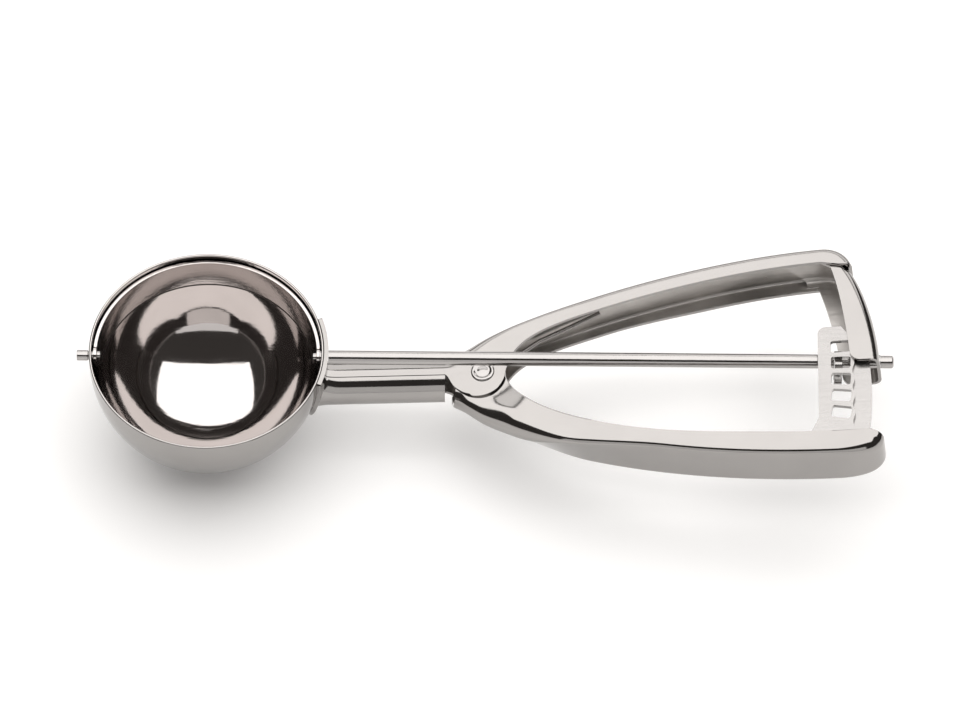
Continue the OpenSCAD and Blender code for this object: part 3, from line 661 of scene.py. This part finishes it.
# %% Plan of the bracket
BRACKET_T = 0.9
BRACKET_R = 2.6
BRACKET_HALF = HALF_H - SHEET - SEAM
NEST = SHEET + SEAM     # the bracket's back lies this far inside the arm's back
NEST_FROM, NEST_LOW_TO = 0.84, 0.985    # shares of the arm's back
nest_depth = ARM_DEPTH * 0.9
drop_from = beside(arm_corner, 1, NEST)
drop_end = vec(GRIP_L + 16.91 * UNIT, PIVOT_Y - ROD_D)
drop_line = pen_line(drop_from, (4.1, -6.2), (0.53, -12.5), drop_end)
drop_top = [drop_from - UNIT * vec(5.46, -0.53), drop_from - UNIT * vec(3.15, 5.78),
            drop_end + UNIT * vec(-9.66, 14.6), drop_end - UNIT * vec(8.3, 0)]
drop_low = [drop_from - UNIT * vec(9.45, -0.32), drop_from - UNIT * vec(6.72, 8.09),
            drop_end + UNIT * vec(-12.39, 12.5), drop_end - UNIT * vec(11.34, 0)]
drop_turn = 1 - BRACKET_R / (37.5 * UNIT)       # where the round corners start
print("the bracket drops", round(drop_from.y - drop_end.y, 1), "mm")

# %% Cross-sections of the bracket
def bracket_rib(o, t1, t2):
    return in_handle(rib(o, o, t1, t2, BRACKET_HALF, -BRACKET_HALF, BRACKET_R))

bracket_ribs = []
for f in span(0, 1, 10):
    t, low_t = mix(NEST_FROM, 1, f), mix(NEST_FROM, NEST_LOW_TO, f)
    edges = beside(arm_line, t, nest_depth), beside(arm_line, low_t, nest_depth)
    bracket_ribs.append(bracket_rib(beside(arm_line, t, NEST), *edges))
for f in after(12):
    edge, low_edge = beside(arm_line, 1, nest_depth), beside(arm_line, NEST_LOW_TO, nest_depth)
    edges = mix(edge, drop_top[0], f), mix(low_edge, drop_low[0], f)
    bracket_ribs.append(bracket_rib(beside(arm_corner, f, NEST), *edges))
for t in span(0, drop_turn, 24)[1:]:
    bracket_ribs.append(bracket_rib(point_on(drop_line, t), point_on(drop_top, t), point_on(drop_low, t)))
for a in span(0, pi / 2, 8)[1:]:
    t, shift = mix(drop_turn, 1, sin(a)), vec(BRACKET_R * (1 - cos(a)), 0)
    edges = point_on(drop_top, t) + shift, point_on(drop_low, t) + shift
    bracket_ribs.append(bracket_rib(point_on(drop_line, t), *edges))
print("bracket:", len(bracket_ribs), "cross-sections")

# %% Rear bracket
bracket_bm = loft(bmesh.new(), bracket_ribs)
cut_off(bracket_bm, 85.1 * UNIT, 96 * UNIT)
bmesh.ops.recalc_face_normals(bracket_bm, faces=bracket_bm.faces[:])
web_x = PIVOT_X + (drop_end.x - 0.45 * UNIT - PIVOT_DROP * TILT_SIN) / TILT_COS
bracket_piece = piece(bracket_bm, "rear_bracket_fine", "handle", thick=BRACKET_T, edge=0.2,
                      holes=[((web_x, 0, 0), (1, 0, 0), ROD_D / 2 + RUNNING, CHANNEL_H)], inner=1)

# %% [markdown]
# ## The rack plate
# The rack is a stamped plate with five windows. Its right-hand strip is set down by one sheet
# and its foot is set up against the lever's top wall. The flat outline is cut into strips where
# it bends, and a smooth step moves the points up or down.

# %% Sizes of the rack
RACK_T = 1.2
RACK_GAP = 0.25         # between the rack and the bracket above it
WINDOWS = 5
WINDOW_W, WINDOW_L = 3.9, 5.5
WINDOW_R = 0.7          # the windows' corners
WINDOW_OFF = 5.3        # the windows' middle lies this far behind the grip's length
WINDOW_FIRST, WINDOW_STEP = 2.0, 3.1    # degrees about the pivot
LAP_X, LAP_Z = 0.3, 0.03        # the strip laps the plate by this, so that the two weld
rack_top = BRACKET_HALF - BRACKET_T - RACK_GAP
window_r = GRIP_L + WINDOW_OFF
rack_left = window_r - WINDOW_L / 2 - 3.8 * UNIT
rack_flare, rack_right = rack_left - 2.52 * UNIT, window_r + 8.93 * UNIT
rack_step = window_r + WINDOW_L / 2 + 0.5
rack_end_y, rack_round = PIVOT_Y + 8.6 * UNIT, 2.4 * UNIT
rack_base_y = BEND_R + 0.3 - LEVER_FALL
foot_y = LEVER_DEPTH - BEND_R - 0.4 - LEVER_FALL        # the foot's step ends here
foot_low_y = foot_y - RACK_T
step_top = PIVOT_Y + 4.3
print("rack", round(rack_right - rack_left, 1), "mm wide")

# %% Outlines of the rack
BACK_R = 105 * UNIT     # the strip's long right edge is an arc of this radius

def scallop(y):
    """The step's plan line swells beside each window."""
    turn = degrees(atan2(y, rack_step)) - WINDOW_FIRST
    return vec(rack_step + 0.25 + 0.3 * cos(2 * pi * turn / WINDOW_STEP), y)

def on_back(y):
    centre = vec(rack_right - BACK_R, -0.35 * LEVER_FALL)
    return vec(centre.x + sqrt(BACK_R**2 - (y - centre.y) ** 2), y)

round_c = vec(rack_left + rack_round, rack_end_y - rack_round)
window_side = [ring_point(round_c, rack_round, a) for a in span(90, 180, 12)]
window_side += [vec(rack_left, -0.61 * LEVER_FALL), vec(rack_flare, -0.76 * LEVER_FALL),
                vec(rack_flare, rack_base_y)]
window_side += [scallop(y) for y in span(rack_base_y, step_top, 120)]
window_side += [vec(rack_left + 8.3 * UNIT, rack_end_y - 2 * UNIT), vec(rack_left + 6.9 * UNIT, rack_end_y)]
strip_side = [vec(rack_step - LAP_X, foot_low_y)]
strip_side += [on_back(y) for y in span(foot_low_y, PIVOT_Y - 3.7 * UNIT, 12)]
strip_side += [vec(rack_right - 1.2 * UNIT, PIVOT_Y), vec(rack_step - LAP_X, step_top)]
print("rack outlines of", len(window_side), "and", len(strip_side), "points")

# %% Windows of the rack
def window_loop(angle):
    turn = Matrix.Rotation(radians(angle), 2)
    loop = []
    for sx, sy, start in ((1, 1, 0), (-1, 1, 90), (-1, -1, 180), (1, -1, 270)):
        x = window_r / cos(radians(angle)) + sx * (WINDOW_L / 2 - WINDOW_R)
        corner = vec(x, sy * (WINDOW_W / 2 - WINDOW_R))
        loop += [turn @ ring_point(corner, WINDOW_R, a) for a in span(start, start + 90, 5)]
    return loop

window_loops = [window_loop(WINDOW_FIRST - k * WINDOW_STEP) for k in range(WINDOWS)]
print(WINDOWS, "windows of", WINDOW_L, "x", WINDOW_W, "mm")

# %% Rack plate
def thicken(bm, thick):
    """Gives a plate its thickness downwards and moves it into the handle."""
    made = bmesh.ops.extrude_face_region(bm, geom=bm.faces[:])["geom"]
    lower = [g for g in made if isinstance(g, bmesh.types.BMVert)]
    bmesh.ops.translate(bm, vec=(0, 0, -thick), verts=lower)
    bmesh.ops.recalc_face_normals(bm, faces=bm.faces[:])
    bmesh.ops.transform(bm, matrix=IN_HANDLE, verts=bm.verts[:])
    return bm

foot_lift = HALF_H - SHEET - SEAM - rack_top
upper_bm = plate(window_side, window_loops, cuts_y=span(foot_low_y, foot_y, 6))
for v in upper_bm.verts:
    v.co.z = rack_top + foot_lift * (1 - ease((v.co.y - foot_low_y) / RACK_T))
strip_bm = plate(strip_side)
bmesh.ops.translate(strip_bm, vec=(0, 0, rack_top - RACK_T + LAP_Z), verts=strip_bm.verts[:])
rack_piece = piece(thicken(upper_bm, RACK_T), "rack_plate_fine", "lever", edge=0.12,
                   join=[thicken(strip_bm, RACK_T)])

# %% [markdown]
# ## The sector pinion
# The sector is a short stack on the rod, with three teeth that stand up into the windows. Its
# flat outline is thickened along the rod and the edges are broken. Its pitch follows from the
# rack: one window must pass for each tooth.

# %% Sector pinion's sizes
PINION_T = 2.2
TEETH = 3
TOOTH_TOP, TOOTH_W, TOOTH_CORNER = 1.84, 2.6, 0.5
TOOTH_PLAY = 0.2        # from the window's end to the sector
ROOT_GAP = 0.5          # from the rack down to the tooth's root
HUB_TURN = 40           # degrees: the hub's round starts this far past the last tooth
last_window = WINDOW_FIRST - TEETH * WINDOW_STEP
rack_mid = rack_top - RACK_T / 2
pinion_reach = window_r / cos(radians(last_window)) - WINDOW_L / 2 + TOOTH_PLAY + PINION_T / 2
pinion_x = PIVOT_X + pinion_reach * TILT_COS - rack_mid * TILT_SIN
pitch_r = pinion_reach * TILT_SIN + rack_mid * TILT_COS - PIVOT_DROP
tooth_step = WINDOW_STEP * pinion_reach / pitch_r
tooth_shift = degrees((radians(WINDOW_FIRST - WINDOW_STEP) * pinion_reach - PIVOT_Y) / pitch_r)
root_r, tip_r, hub_r = pitch_r - RACK_T / 2 - ROOT_GAP, pitch_r + TOOTH_TOP, ROD_D * 0.725
print("pitch radius", round(pitch_r, 2), "mm, a tooth each", round(tooth_step, 1), "degrees")

# %% Sector pinion
def tooth(middle):
    """The outline of one tooth, from its root on one side over its tip to its root on the other."""
    way, side = ring_point(vec(0, 0), 1, middle), ring_point(vec(0, 0), 1, middle - 90)
    half = TOOTH_W / 2
    root, tip = sqrt(root_r**2 - half**2), sqrt(tip_r**2 - half**2)
    places = [(root, half), (tip - TOOTH_CORNER, half), (tip, half - TOOTH_CORNER), (tip + 0.1, 0),
              (tip, TOOTH_CORNER - half), (tip - TOOTH_CORNER, -half), (root, -half)]
    return [way * out + side * across for out, across in places]

teeth_at = [90 - tooth_shift + k * tooth_step for k in range(TEETH)]
pinion_outline = [p for middle in teeth_at for p in tooth(middle)]
hub_angles = span(teeth_at[-1] + HUB_TURN, teeth_at[0] + 360 - HUB_TURN, 24)
pinion_outline += [ring_point(vec(0, 0), hub_r, a) for a in hub_angles]
rod_loop = [ring_point(vec(0, 0), ROD_D / 2 + SEAM, a) for a in span(0, 360, 48)[:-1]]
pinion_bm = plate(pinion_outline, [rod_loop])
stood_up = Matrix(((0, 0, 1, pinion_x + PINION_T / 2), (1, 0, 0, 0), (0, 1, 0, 0), (0, 0, 0, 1)))
bmesh.ops.transform(pinion_bm, matrix=stood_up, verts=pinion_bm.verts[:])
pinion_piece = piece(pinion_bm, "sector_pinion_fine", "sweep", thick=PINION_T, edge=0.18)

# %% [markdown]
# ## Turned pieces
# The rod, the front pin, the rivet and its sleeve come off a lathe or a header, so each one is a
# profile spun about its own axis, with its edges rounded in the profile. A profile is a list of
# (radius, height) points.

# %% Rounded profiles
def soft(profile, r=0.12):
    """Replaces each inner corner of a profile by three points."""
    out = [profile[0]]
    for a, b, c in zip(profile, profile[1:], profile[2:]):
        a, b, c = Vector(a), Vector(b), Vector(c)
        k = min(r, (a - b).length * 0.4, (c - b).length * 0.4)
        p, q = b + (a - b).normalized() * k, b + (c - b).normalized() * k
        out += [tuple(p), tuple((p + q) / 4 + b / 2), tuple(q)]
    return out + [profile[-1]]

# %% Rod and front pin
TENON_D = 2.0           # the blade turns with the rod on this
UPSET_D, UPSET_H = 2.6, 1.1     # the tenon's end, hammered wide inside the blade
UPSET_GAP = 0.06        # between it and the blade
BLADE_GAP, BLADE_T = 0.4, 0.8
TAIL_D, ROD_TAIL, TAIL_CORNER = 3.6, 4.0, 0.4
PIN_D, PIN_OUT = 3.0, 3.4
SHOULDER_GAP = 0.3
SHAFT_RINGS = (60, 90, 120, 150, 180)   # rings along the rod, which keep its faces short
blade_out = BOWL_R - BOWL_WALL - BLADE_GAP
head_out = blade_out - BLADE_T - UPSET_GAP
shoulder = blade_out + SEAM
tail_x = web_x + ROD_TAIL

def stub(shaft_r):
    """The end that carries the blade: upset head, tenon and shoulder."""
    head = [(0, head_out - UPSET_H), (UPSET_D / 2, head_out - UPSET_H), (UPSET_D / 2, head_out)]
    return soft(head + [(TENON_D / 2, head_out), (TENON_D / 2, shoulder), (shaft_r, shoulder)], 0.15)

rod_r, tail_r, tail_shoulder = ROD_D / 2, TAIL_D / 2, web_x + SHOULDER_GAP
rod_tail = soft([(rod_r, SHAFT_RINGS[-1]), (rod_r, tail_shoulder), (tail_r, tail_shoulder),
                 (tail_r, tail_x - TAIL_CORNER), (tail_r - TAIL_CORNER, tail_x), (0, tail_x)], 0.1)
rod_profile = stub(rod_r) + [(rod_r, x) for x in SHAFT_RINGS[:-1]] + rod_tail
rod_piece = piece(spin_shape(rod_profile, (1, 0, 0), 64), "sweep_rod_fine", "sweep")
neck_r, pin_r, pin_shoulder = PIN_NECK_D / 2, PIN_D / 2, BOWL_R + SHOULDER_GAP
pin_end = soft([(neck_r, shoulder), (neck_r, pin_shoulder), (pin_r, pin_shoulder), (pin_r, BOWL_R + PIN_OUT),
                (0, BOWL_R + PIN_OUT)], 0.2)
pin_profile = stub(neck_r)[:-1] + pin_end
pin_piece = piece(spin_shape(pin_profile, (-1, 0, 0), 64), "front_pin_fine", "sweep")

# %% Rivet
RIVET_HEAD_D, RIVET_HEAD_H, RIVET_LOW_H = 6.6, 0.55, 1.0
DISHED = ((0, 0.25), (0.35, 0), (0.75, 0), (1.3, 0.38), (1.75, 0.36), (2.5, 0.12))  # in and down
head_r, head_top = RIVET_HEAD_D / 2, HALF_H + RIVET_HEAD_H
low_head = -HALF_H - RIVET_LOW_H

def in_place(bm):
    """Moves a piece that is drawn about the pivot into the handle."""
    bmesh.ops.transform(bm, matrix=IN_HANDLE, verts=bm.verts[:])
    return bm

rivet_profile = [(0, low_head), (head_r * 0.6, low_head), (head_r, -HALF_H - RIVET_LOW_H * 0.4)]
rivet_profile += [(head_r, -HALF_H - SEAM), (RIVET_D / 2, -HALF_H - SEAM), (RIVET_D / 2, HALF_H + SEAM)]
rivet_profile += [(head_r, HALF_H + SEAM)] + [(head_r - inward, head_top - down) for inward, down in DISHED]
rivet_profile += [(0, head_top - 0.05)]
rivet_bm = in_place(spin_shape(soft(rivet_profile, 0.2), steps=96))
rivet_piece = piece(rivet_bm, "pivot_rivet_fine", "handle")

# %% Sleeve
SLEEVE_D = 6.2
sleeve_h = LEVER_HALF - SHEET - EAR_GAP
bore_r = RIVET_D / 2 + RUNNING
sleeve_wall = [(SLEEVE_D / 2, -sleeve_h), (SLEEVE_D / 2, sleeve_h), (bore_r, sleeve_h), (bore_r, -sleeve_h)]
sleeve_start = ((SLEEVE_D + RIVET_D) / 4, -sleeve_h)
sleeve_profile = [sleeve_start, *soft(sleeve_wall), sleeve_start]
sleeve_bm = in_place(spin_shape(sleeve_profile, steps=64))
sleeve_piece = piece(sleeve_bm, "pivot_sleeve_fine", "handle")

# %% [markdown]
# ## The sweep blade
# The blade is a strip of a ball's surface that follows the inside of the bowl, with a round eye
# at each end. Its outline is drawn flat, as turn angle along the strip against height, and then
# wrapped onto the ball, so every point lies exactly on the swept surface. Its lower edge is left
# as it was sheared; a thin band along it gets a near-black steel, which is painted shade for the
# dark gap between blade and bowl.

# %% Outline of the blade
BLADE_W = 9.6
BLADE_LEAD = 0.8        # the blade's upper edge stands this far above the turn axis
BLADE_REST = 0.6        # degrees: the blade is turned by this at rest
EYE_R, END_R = TENON_D / 2 + 1.4, BLADE_W / 2
FAR_OFF = 1e9           # stands for no edge at this height
blade_low = BLADE_LEAD - BLADE_W

def blade_edge(height):
    """How far the strip's end lies from the turn axis at a height. The eye reaches past the axis."""
    from_middle = height - (BLADE_LEAD - END_R)
    eye = -sqrt(max(EYE_R**2 - height * height, 0)) if abs(height) < EYE_R else FAR_OFF
    end = END_R - sqrt(max(END_R**2 - from_middle**2, 0)) if abs(from_middle) <= END_R else FAR_OFF
    return min(eye, end)

def blade_outline():
    heights = [blade_low + (BLADE_LEAD - blade_low) * (1 - cos(a)) / 2 for a in span(0, pi, 40)]
    left = [(blade_edge(height), height) for height in heights]
    eye_turn = asin(BLADE_LEAD / EYE_R)
    left += [(EYE_R * cos(a), EYE_R * sin(a)) for a in span(pi - eye_turn, eye_turn, 14)[1:]]
    near = []
    for y, height in left:
        r = sqrt(blade_out**2 - height * height)
        near.append(vec(asin(max(-1, min(1, y / r))) * blade_out, height))
    far = [vec(pi * blade_out - p.x, p.y) for p in reversed(near)]
    return near + far

def eye_loop(middle):
    r = TENON_D / 2 + SEAM
    return [vec(middle + r * cos(a), r * sin(a)) for a in span(0, 2 * pi, 24)[:-1]]

print("the blade is", round(pi * blade_out), "mm long between its eyes")

# %% Sweep blade
# the blade's lower band of this height is painted near-black, as painted shade of the gap under it
SHADE_BAND_W = 0.55
shade_band_top = BLADE_LEAD - BLADE_W + SHADE_BAND_W
blade_bm = plate(blade_outline(), [eye_loop(0), eye_loop(pi * blade_out)],
                 cuts_x=span(-2, pi * blade_out + 2, 96), cuts_y=[shade_band_top, *range(-8, 1)])
rest = Matrix.Rotation(radians(BLADE_REST), 3, "X")
for v in blade_bm.verts:
    turn, height = v.co.x / blade_out, v.co.y
    r = sqrt(blade_out**2 - height * height)
    v.co = rest @ Vector((r * cos(turn), r * sin(turn), height))
bmesh.ops.recalc_face_normals(blade_bm, faces=blade_bm.faces[:])
if sum(f.normal.dot(f.calc_center_median()) for f in blade_bm.faces) < 0:
    bmesh.ops.reverse_faces(blade_bm, faces=blade_bm.faces[:])
blade_piece = piece(blade_bm, "sweep_blade_fine", "sweep", thick=BLADE_T, edge=0.12, inner=1)
# faces in the lower band take the near-black steel: painted shade
for face in blade_piece.data.polygons:
    face.material_index = int((rest.transposed() @ face.center).z * 1000 < shade_band_top)

# %% [markdown]
# ## The return spring
# The spring is one wire: a leg in the fixed arm, four coils round the sleeve, and a leg in the
# lever. A small circle is extruded along the path, which gives a clean tube. When the handle is
# squeezed, one leg stays and the other follows the lever; the mesh is not blended between the
# two bodies, and it is baked in place on neither of them.

# %% Path of the spring
WIRE_D = 1.3
COILS = 4
LEG_REACH = 0.4         # share of the arm's back that its leg reaches
LEG_OFF = 0.5 * UNIT    # the legs stand off the sheet by this
COIL_STEPS = 36
coil_r, coil_rise = SLEEVE_D / 2 + WIRE_D * 0.77, (COILS - 0.7) * WIRE_D * 0.56
leg_gap = SHEET + WIRE_D * 0.6
arm_leg = beside(arm_line, LEG_REACH, leg_gap), beside(arm_line, LEG_REACH * 0.5, leg_gap + LEG_OFF)
lever_leg = (beside(lever_line, LEG_REACH * 0.7, -leg_gap - LEG_OFF),
             beside(lever_line, LEG_REACH * 1.14, -leg_gap - LEG_OFF))

def touch(p):
    """The angle between a leg's end point and the place where the leg leaves the coil."""
    return acos(coil_r / p.length)

arm_turn = atan2(arm_leg[1].y, arm_leg[1].x) + touch(arm_leg[1])
lever_turn = atan2(lever_leg[0].y, lever_leg[0].x) - touch(lever_leg[0])
coil_turn = lever_turn + 2 * pi * COILS - arm_turn

def leg(ends, heights):
    points = ends[0], mix(ends[0], ends[1], 0.5), ends[1]
    return [Vector((p.x, p.y, z)) for p, z in zip(points, heights)]

wire = leg(arm_leg, (WIRE_D * 0.38, -coil_rise * 0.45, -coil_rise))
for f in span(0, 1, COIL_STEPS * COILS):
    a = arm_turn + coil_turn * f
    wire.append(Vector((coil_r * cos(a), coil_r * sin(a), mix(-coil_rise, coil_rise, f))))
wire += leg(lever_leg, (coil_rise, coil_rise * 0.45, -WIRE_D * 0.38))
print("spring wire:", round(sum((b - a).length for a, b in zip(wire, wire[1:]))), "mm long")

# %% Return spring
def wire_rings(path, r):
    """A circle square to the wire at each point of its path."""
    rings = []
    for i, p in enumerate(path):
        way = (path[min(i + 1, len(path) - 1)] - path[max(i - 1, 0)]).normalized()
        side = Vector((way.y, -way.x, 0)).normalized()
        across = side.cross(way)
        rings.append([p + r * (side * cos(a) + across * sin(a)) for a in span(0, 2 * pi, 16)[:-1]])
    return rings

spring_bm = loft(bmesh.new(), wire_rings(wire, WIRE_D / 2), closed=True)
bmesh.ops.holes_fill(spring_bm, edges=[e for e in spring_bm.edges if e.is_boundary], sides=0)
bmesh.ops.recalc_face_normals(spring_bm, faces=spring_bm.faces[:])
spring_piece = piece(in_place(spring_bm), "return_spring_fine", None, edge=0.15)
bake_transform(spring_piece)

# %% [markdown]
# ## Steel
# Polished stainless steel is a mirror with a slightly warm grey tint. What makes it look real is
# how the mirror is spoiled: fine lines from the polishing wheel, soft smudges, and small ripples
# from pressing that bend the reflections. Each of these is a noise pattern on Object coordinates,
# and the lines' pattern is stretched along x.

# %% Steel material helper
SMUDGE, WAVE = 70, 42           # scales of the smudges and of the ripples
EVEN, DRAWN = (1, 1, 1), (0.06, 1, 1)   # how the patterns are stretched
LINE_DEPTH, WAVE_DEPTH = 0.0001, 0.001  # metres

def steel(name, colour, rough, spread, lines, line_strength, ripple, stain=0.06):
    """A steel finish.

    rough is the mean roughness and spread its range, lines the scale of the polishing lines,
    line_strength and ripple how much lines and ripples bend the light. stain is how much darker
    the steel is between the smudges.
    """
    mat = bpy.data.materials.new(name)
    mat.use_nodes = True
    nodes, links = mat.node_tree.nodes, mat.node_tree.links
    shader = nodes["Principled BSDF"]
    shader.inputs["Metallic"].default_value = 1.0
    where = nodes.new("ShaderNodeTexCoord")

    def noise(scale, stretch, detail):
        place = nodes.new("ShaderNodeMapping")
        place.inputs["Scale"].default_value = stretch
        cloud = nodes.new("ShaderNodeTexNoise")
        cloud.inputs["Scale"].default_value = scale
        cloud.inputs["Detail"].default_value = detail
        links.new(where.outputs["Object"], place.inputs["Vector"])
        links.new(place.outputs["Vector"], cloud.inputs["Vector"])
        return cloud.outputs["Fac"]

    def between(fac, low, high):
        to = nodes.new("ShaderNodeMapRange")
        for socket, value in (("From Min", 0.3), ("From Max", 0.7), ("To Min", low), ("To Max", high)):
            to.inputs[socket].default_value = value
        links.new(fac, to.inputs["Value"])
        return to.outputs["Result"]

    def bump(height, strength, distance):
        node = nodes.new("ShaderNodeBump")
        node.inputs["Strength"].default_value = strength
        node.inputs["Distance"].default_value = distance
        links.new(height, node.inputs["Height"])
        return node

    smudges, drawn, waves = noise(SMUDGE, EVEN, 4), noise(lines, DRAWN, 3), noise(WAVE, EVEN, 1)
    tint = nodes.new("ShaderNodeMix")
    tint.data_type = "RGBA"
    tint.inputs["A"].default_value = (*[c * (1 - stain) for c in colour], 1)
    tint.inputs["B"].default_value = (*colour, 1)
    links.new(between(smudges, 0, 1), tint.inputs["Factor"])
    links.new(tint.outputs["Result"], shader.inputs["Base Color"])
    add = nodes.new("ShaderNodeMath")
    add.operation = "ADD"
    links.new(between(smudges, rough - spread / 2, rough + spread / 2), add.inputs[0])
    links.new(between(drawn, -spread / 3, spread / 3), add.inputs[1])
    links.new(add.outputs[0], shader.inputs["Roughness"])
    fine, broad = bump(drawn, line_strength, LINE_DEPTH), bump(waves, ripple, WAVE_DEPTH)
    links.new(broad.outputs["Normal"], fine.inputs["Normal"])
    links.new(fine.outputs["Normal"], shader.inputs["Normal"])
    print("material", name)
    return mat

# %% [markdown]
# ## Seven steels and a painted shade
# The bowl's inside is buffed to the clearest mirror. The handle's outside is polished, and its
# inside is left raw. Rod, pin and rivet are ground, the stamped pieces are plain, the blade is
# brushed, and the spring's wire is dull. The blade's lower edge gets a near-black steel, which is
# painted shade for the dark gap between blade and bowl.

# %% Steels
bright = steel("bowl_steel", (0.54, 0.508, 0.495), rough=0.07, spread=0.05, lines=900,
               line_strength=0.10, ripple=0.04)
polished = steel("polished_steel", (0.345, 0.331, 0.32), rough=0.10, spread=0.06, lines=900,
                 line_strength=0.05, ripple=0.05)
plain = steel("plain_steel", (0.39, 0.377, 0.368), rough=0.24, spread=0.10, lines=1400,
              line_strength=0.20, ripple=0.04, stain=0.12)
ground = steel("rod_steel", (0.41, 0.394, 0.384), rough=0.13, spread=0.06, lines=1600,
               line_strength=0.12, ripple=0.0)
brushed = steel("brushed_steel", (0.58, 0.545, 0.53), rough=0.14, spread=0.08, lines=1300,
                line_strength=0.25, ripple=0.06, stain=0.12)
wire_steel = steel("spring_steel", (0.38, 0.36, 0.35), rough=0.30, spread=0.12, lines=1200,
                   line_strength=0.25, ripple=0.0, stain=0.2)
raw = steel("raw_steel", (0.56, 0.535, 0.512), rough=0.40, spread=0.16, lines=1100,
            line_strength=0.55, ripple=0.05, stain=0.3)
# painted shade: this near-black steel stands in for the shadowed gap under the blade's lower edge
painted_shade_steel = steel("painted_shade_edge", (0.10, 0.09, 0.085), rough=0.45, spread=0.10, lines=1500,
                line_strength=0.40, ripple=0.0, stain=0.2)

# %% Steels on their pieces
finishes = ((bowl, polished, bright), (collar, polished), (frame_piece, polished, raw),
            (lever_piece, polished, raw), (bracket_piece, polished, raw), (rack_piece, plain),
            (pinion_piece, plain), (rod_piece, ground), (pin_piece, ground), (rivet_piece, ground),
            (sleeve_piece, plain), (blade_piece, brushed, painted_shade_steel), (spring_piece, wire_steel))
for obj, *finish in finishes:
    for i, mat in enumerate(finish):
        obj.data.materials[i] = mat
print(len(finishes), "pieces have their steel")

# %% [markdown]
# ## Studio
# Polished steel shows the room more than itself. The room is a dark studio with a pale table,
# a large soft box above, and one more in front and one behind. Flat tops turn white, sides pick
# up the table's grey, and every bend carries the dark of the room as a crisp line.

# %% Floor
FLOOR_W = 4.6           # metres, as all of the studio
MIDDLE_X = 0.08         # the middle of the scoop's length
floor_bm = bmesh.new()
bmesh.ops.create_grid(floor_bm, x_segments=2, y_segments=2, size=FLOOR_W / 2)
floor_mesh = bpy.data.meshes.new("floor")
floor_bm.to_mesh(floor_mesh)
floor_bm.free()
floor = bpy.data.objects.new("floor", floor_mesh)
floor.location = (MIDDLE_X, 0, -BOWL_R / 1000)
pale = bpy.data.materials.new("floor")
pale.use_nodes = True
table_top = {"Base Color": (0.95, 0.945, 0.94, 1), "Roughness": 0.8, "Specular IOR Level": 0.1,
             "Emission Color": (1, 0.995, 0.99, 1), "Emission Strength": 0.1}
for socket, value in table_top.items():
    pale.node_tree.nodes["Principled BSDF"].inputs[socket].default_value = value
floor_mesh.materials.append(pale)
bpy.context.scene.collection.objects.link(floor)
print("floor", FLOOR_W, "m wide")

# %% Lights
def soft_box(name, place, target, size, power):
    """A flat lamp at a place, turned to a target, with its size in metres and its power in watts."""
    light = bpy.data.lights.new(name, "AREA")
    light.shape = "RECTANGLE"
    light.size, light.size_y = size
    light.energy = power
    light.color = (1, 0.99, 0.98)
    lamp = bpy.data.objects.new(name, light)
    lamp.location = place
    lamp.rotation_euler = (Vector(target) - Vector(place)).to_track_quat("-Z", "Y").to_euler()
    bpy.context.scene.collection.objects.link(lamp)
    print(name, power, "W")

soft_box("over_box", (MIDDLE_X, 0.18, 0.9), (MIDDLE_X, 0.18, 0), (2.0, 1.25), 17.5)
soft_box("front_card", (MIDDLE_X, -2.2, 0.62), (MIDDLE_X, 0, 0.62), (3.0, 1.31), 11.5)
soft_box("back_card", (MIDDLE_X, 1.7, 1.0), (MIDDLE_X, 0, 1.0), (2.3, 1.3), 15)

# %% Dark room
world = bpy.data.worlds.new("dark_studio")
bpy.context.scene.world = world
world.use_nodes = True
world.node_tree.nodes["Background"].inputs["Color"].default_value = (0.06, 0.055, 0.052, 1)
world.node_tree.nodes["Background"].inputs["Strength"].default_value = 1.0
bpy.context.scene.view_settings.view_transform = "Standard"
rod_piece.visible_glossy = False        # its mirror image would draw a hard double line on the ear
print("room of", world.name)

# %% [markdown]
# ## Camera
# A long lens from far away keeps the rod and the two arms free of perspective. The camera stands
# in front of the scoop and looks down on the mouth of the bowl.

# %% Camera
ELEVATION, ROLL = 56.0, 0.49    # degrees
MM_PER_PX, PICTURE_W = 0.2805, 970      # the render's scale at the scoop, and its width
AIM_X, AIM_UP = 0.0781, -0.00151        # metres along the rod, and up in the picture
DISTANCE = 2.5
SENSOR = 36
up = Vector((0, sin(radians(ELEVATION)), cos(radians(ELEVATION))))
back = Vector((0, -cos(radians(ELEVATION)), sin(radians(ELEVATION))))
aim = Vector((AIM_X, 0, 0)) + up * AIM_UP
camera = bpy.data.cameras.new("camera")
camera.sensor_width = SENSOR
camera.lens = SENSOR * DISTANCE / (PICTURE_W * MM_PER_PX / 1000)
camera.clip_start, camera.clip_end = 0.1, 20
view_from = bpy.data.objects.new("camera", camera)
view_from.location = aim + back * DISTANCE
facing = back.to_track_quat("Z", "Y").to_matrix() @ Matrix.Rotation(radians(ROLL), 3, "Z")
view_from.rotation_euler = facing.to_euler()
bpy.context.scene.collection.objects.link(view_from)
bpy.context.scene.camera = view_from
print("camera at", [round(c, 3) for c in view_from.location], "lens", round(camera.lens), "mm")
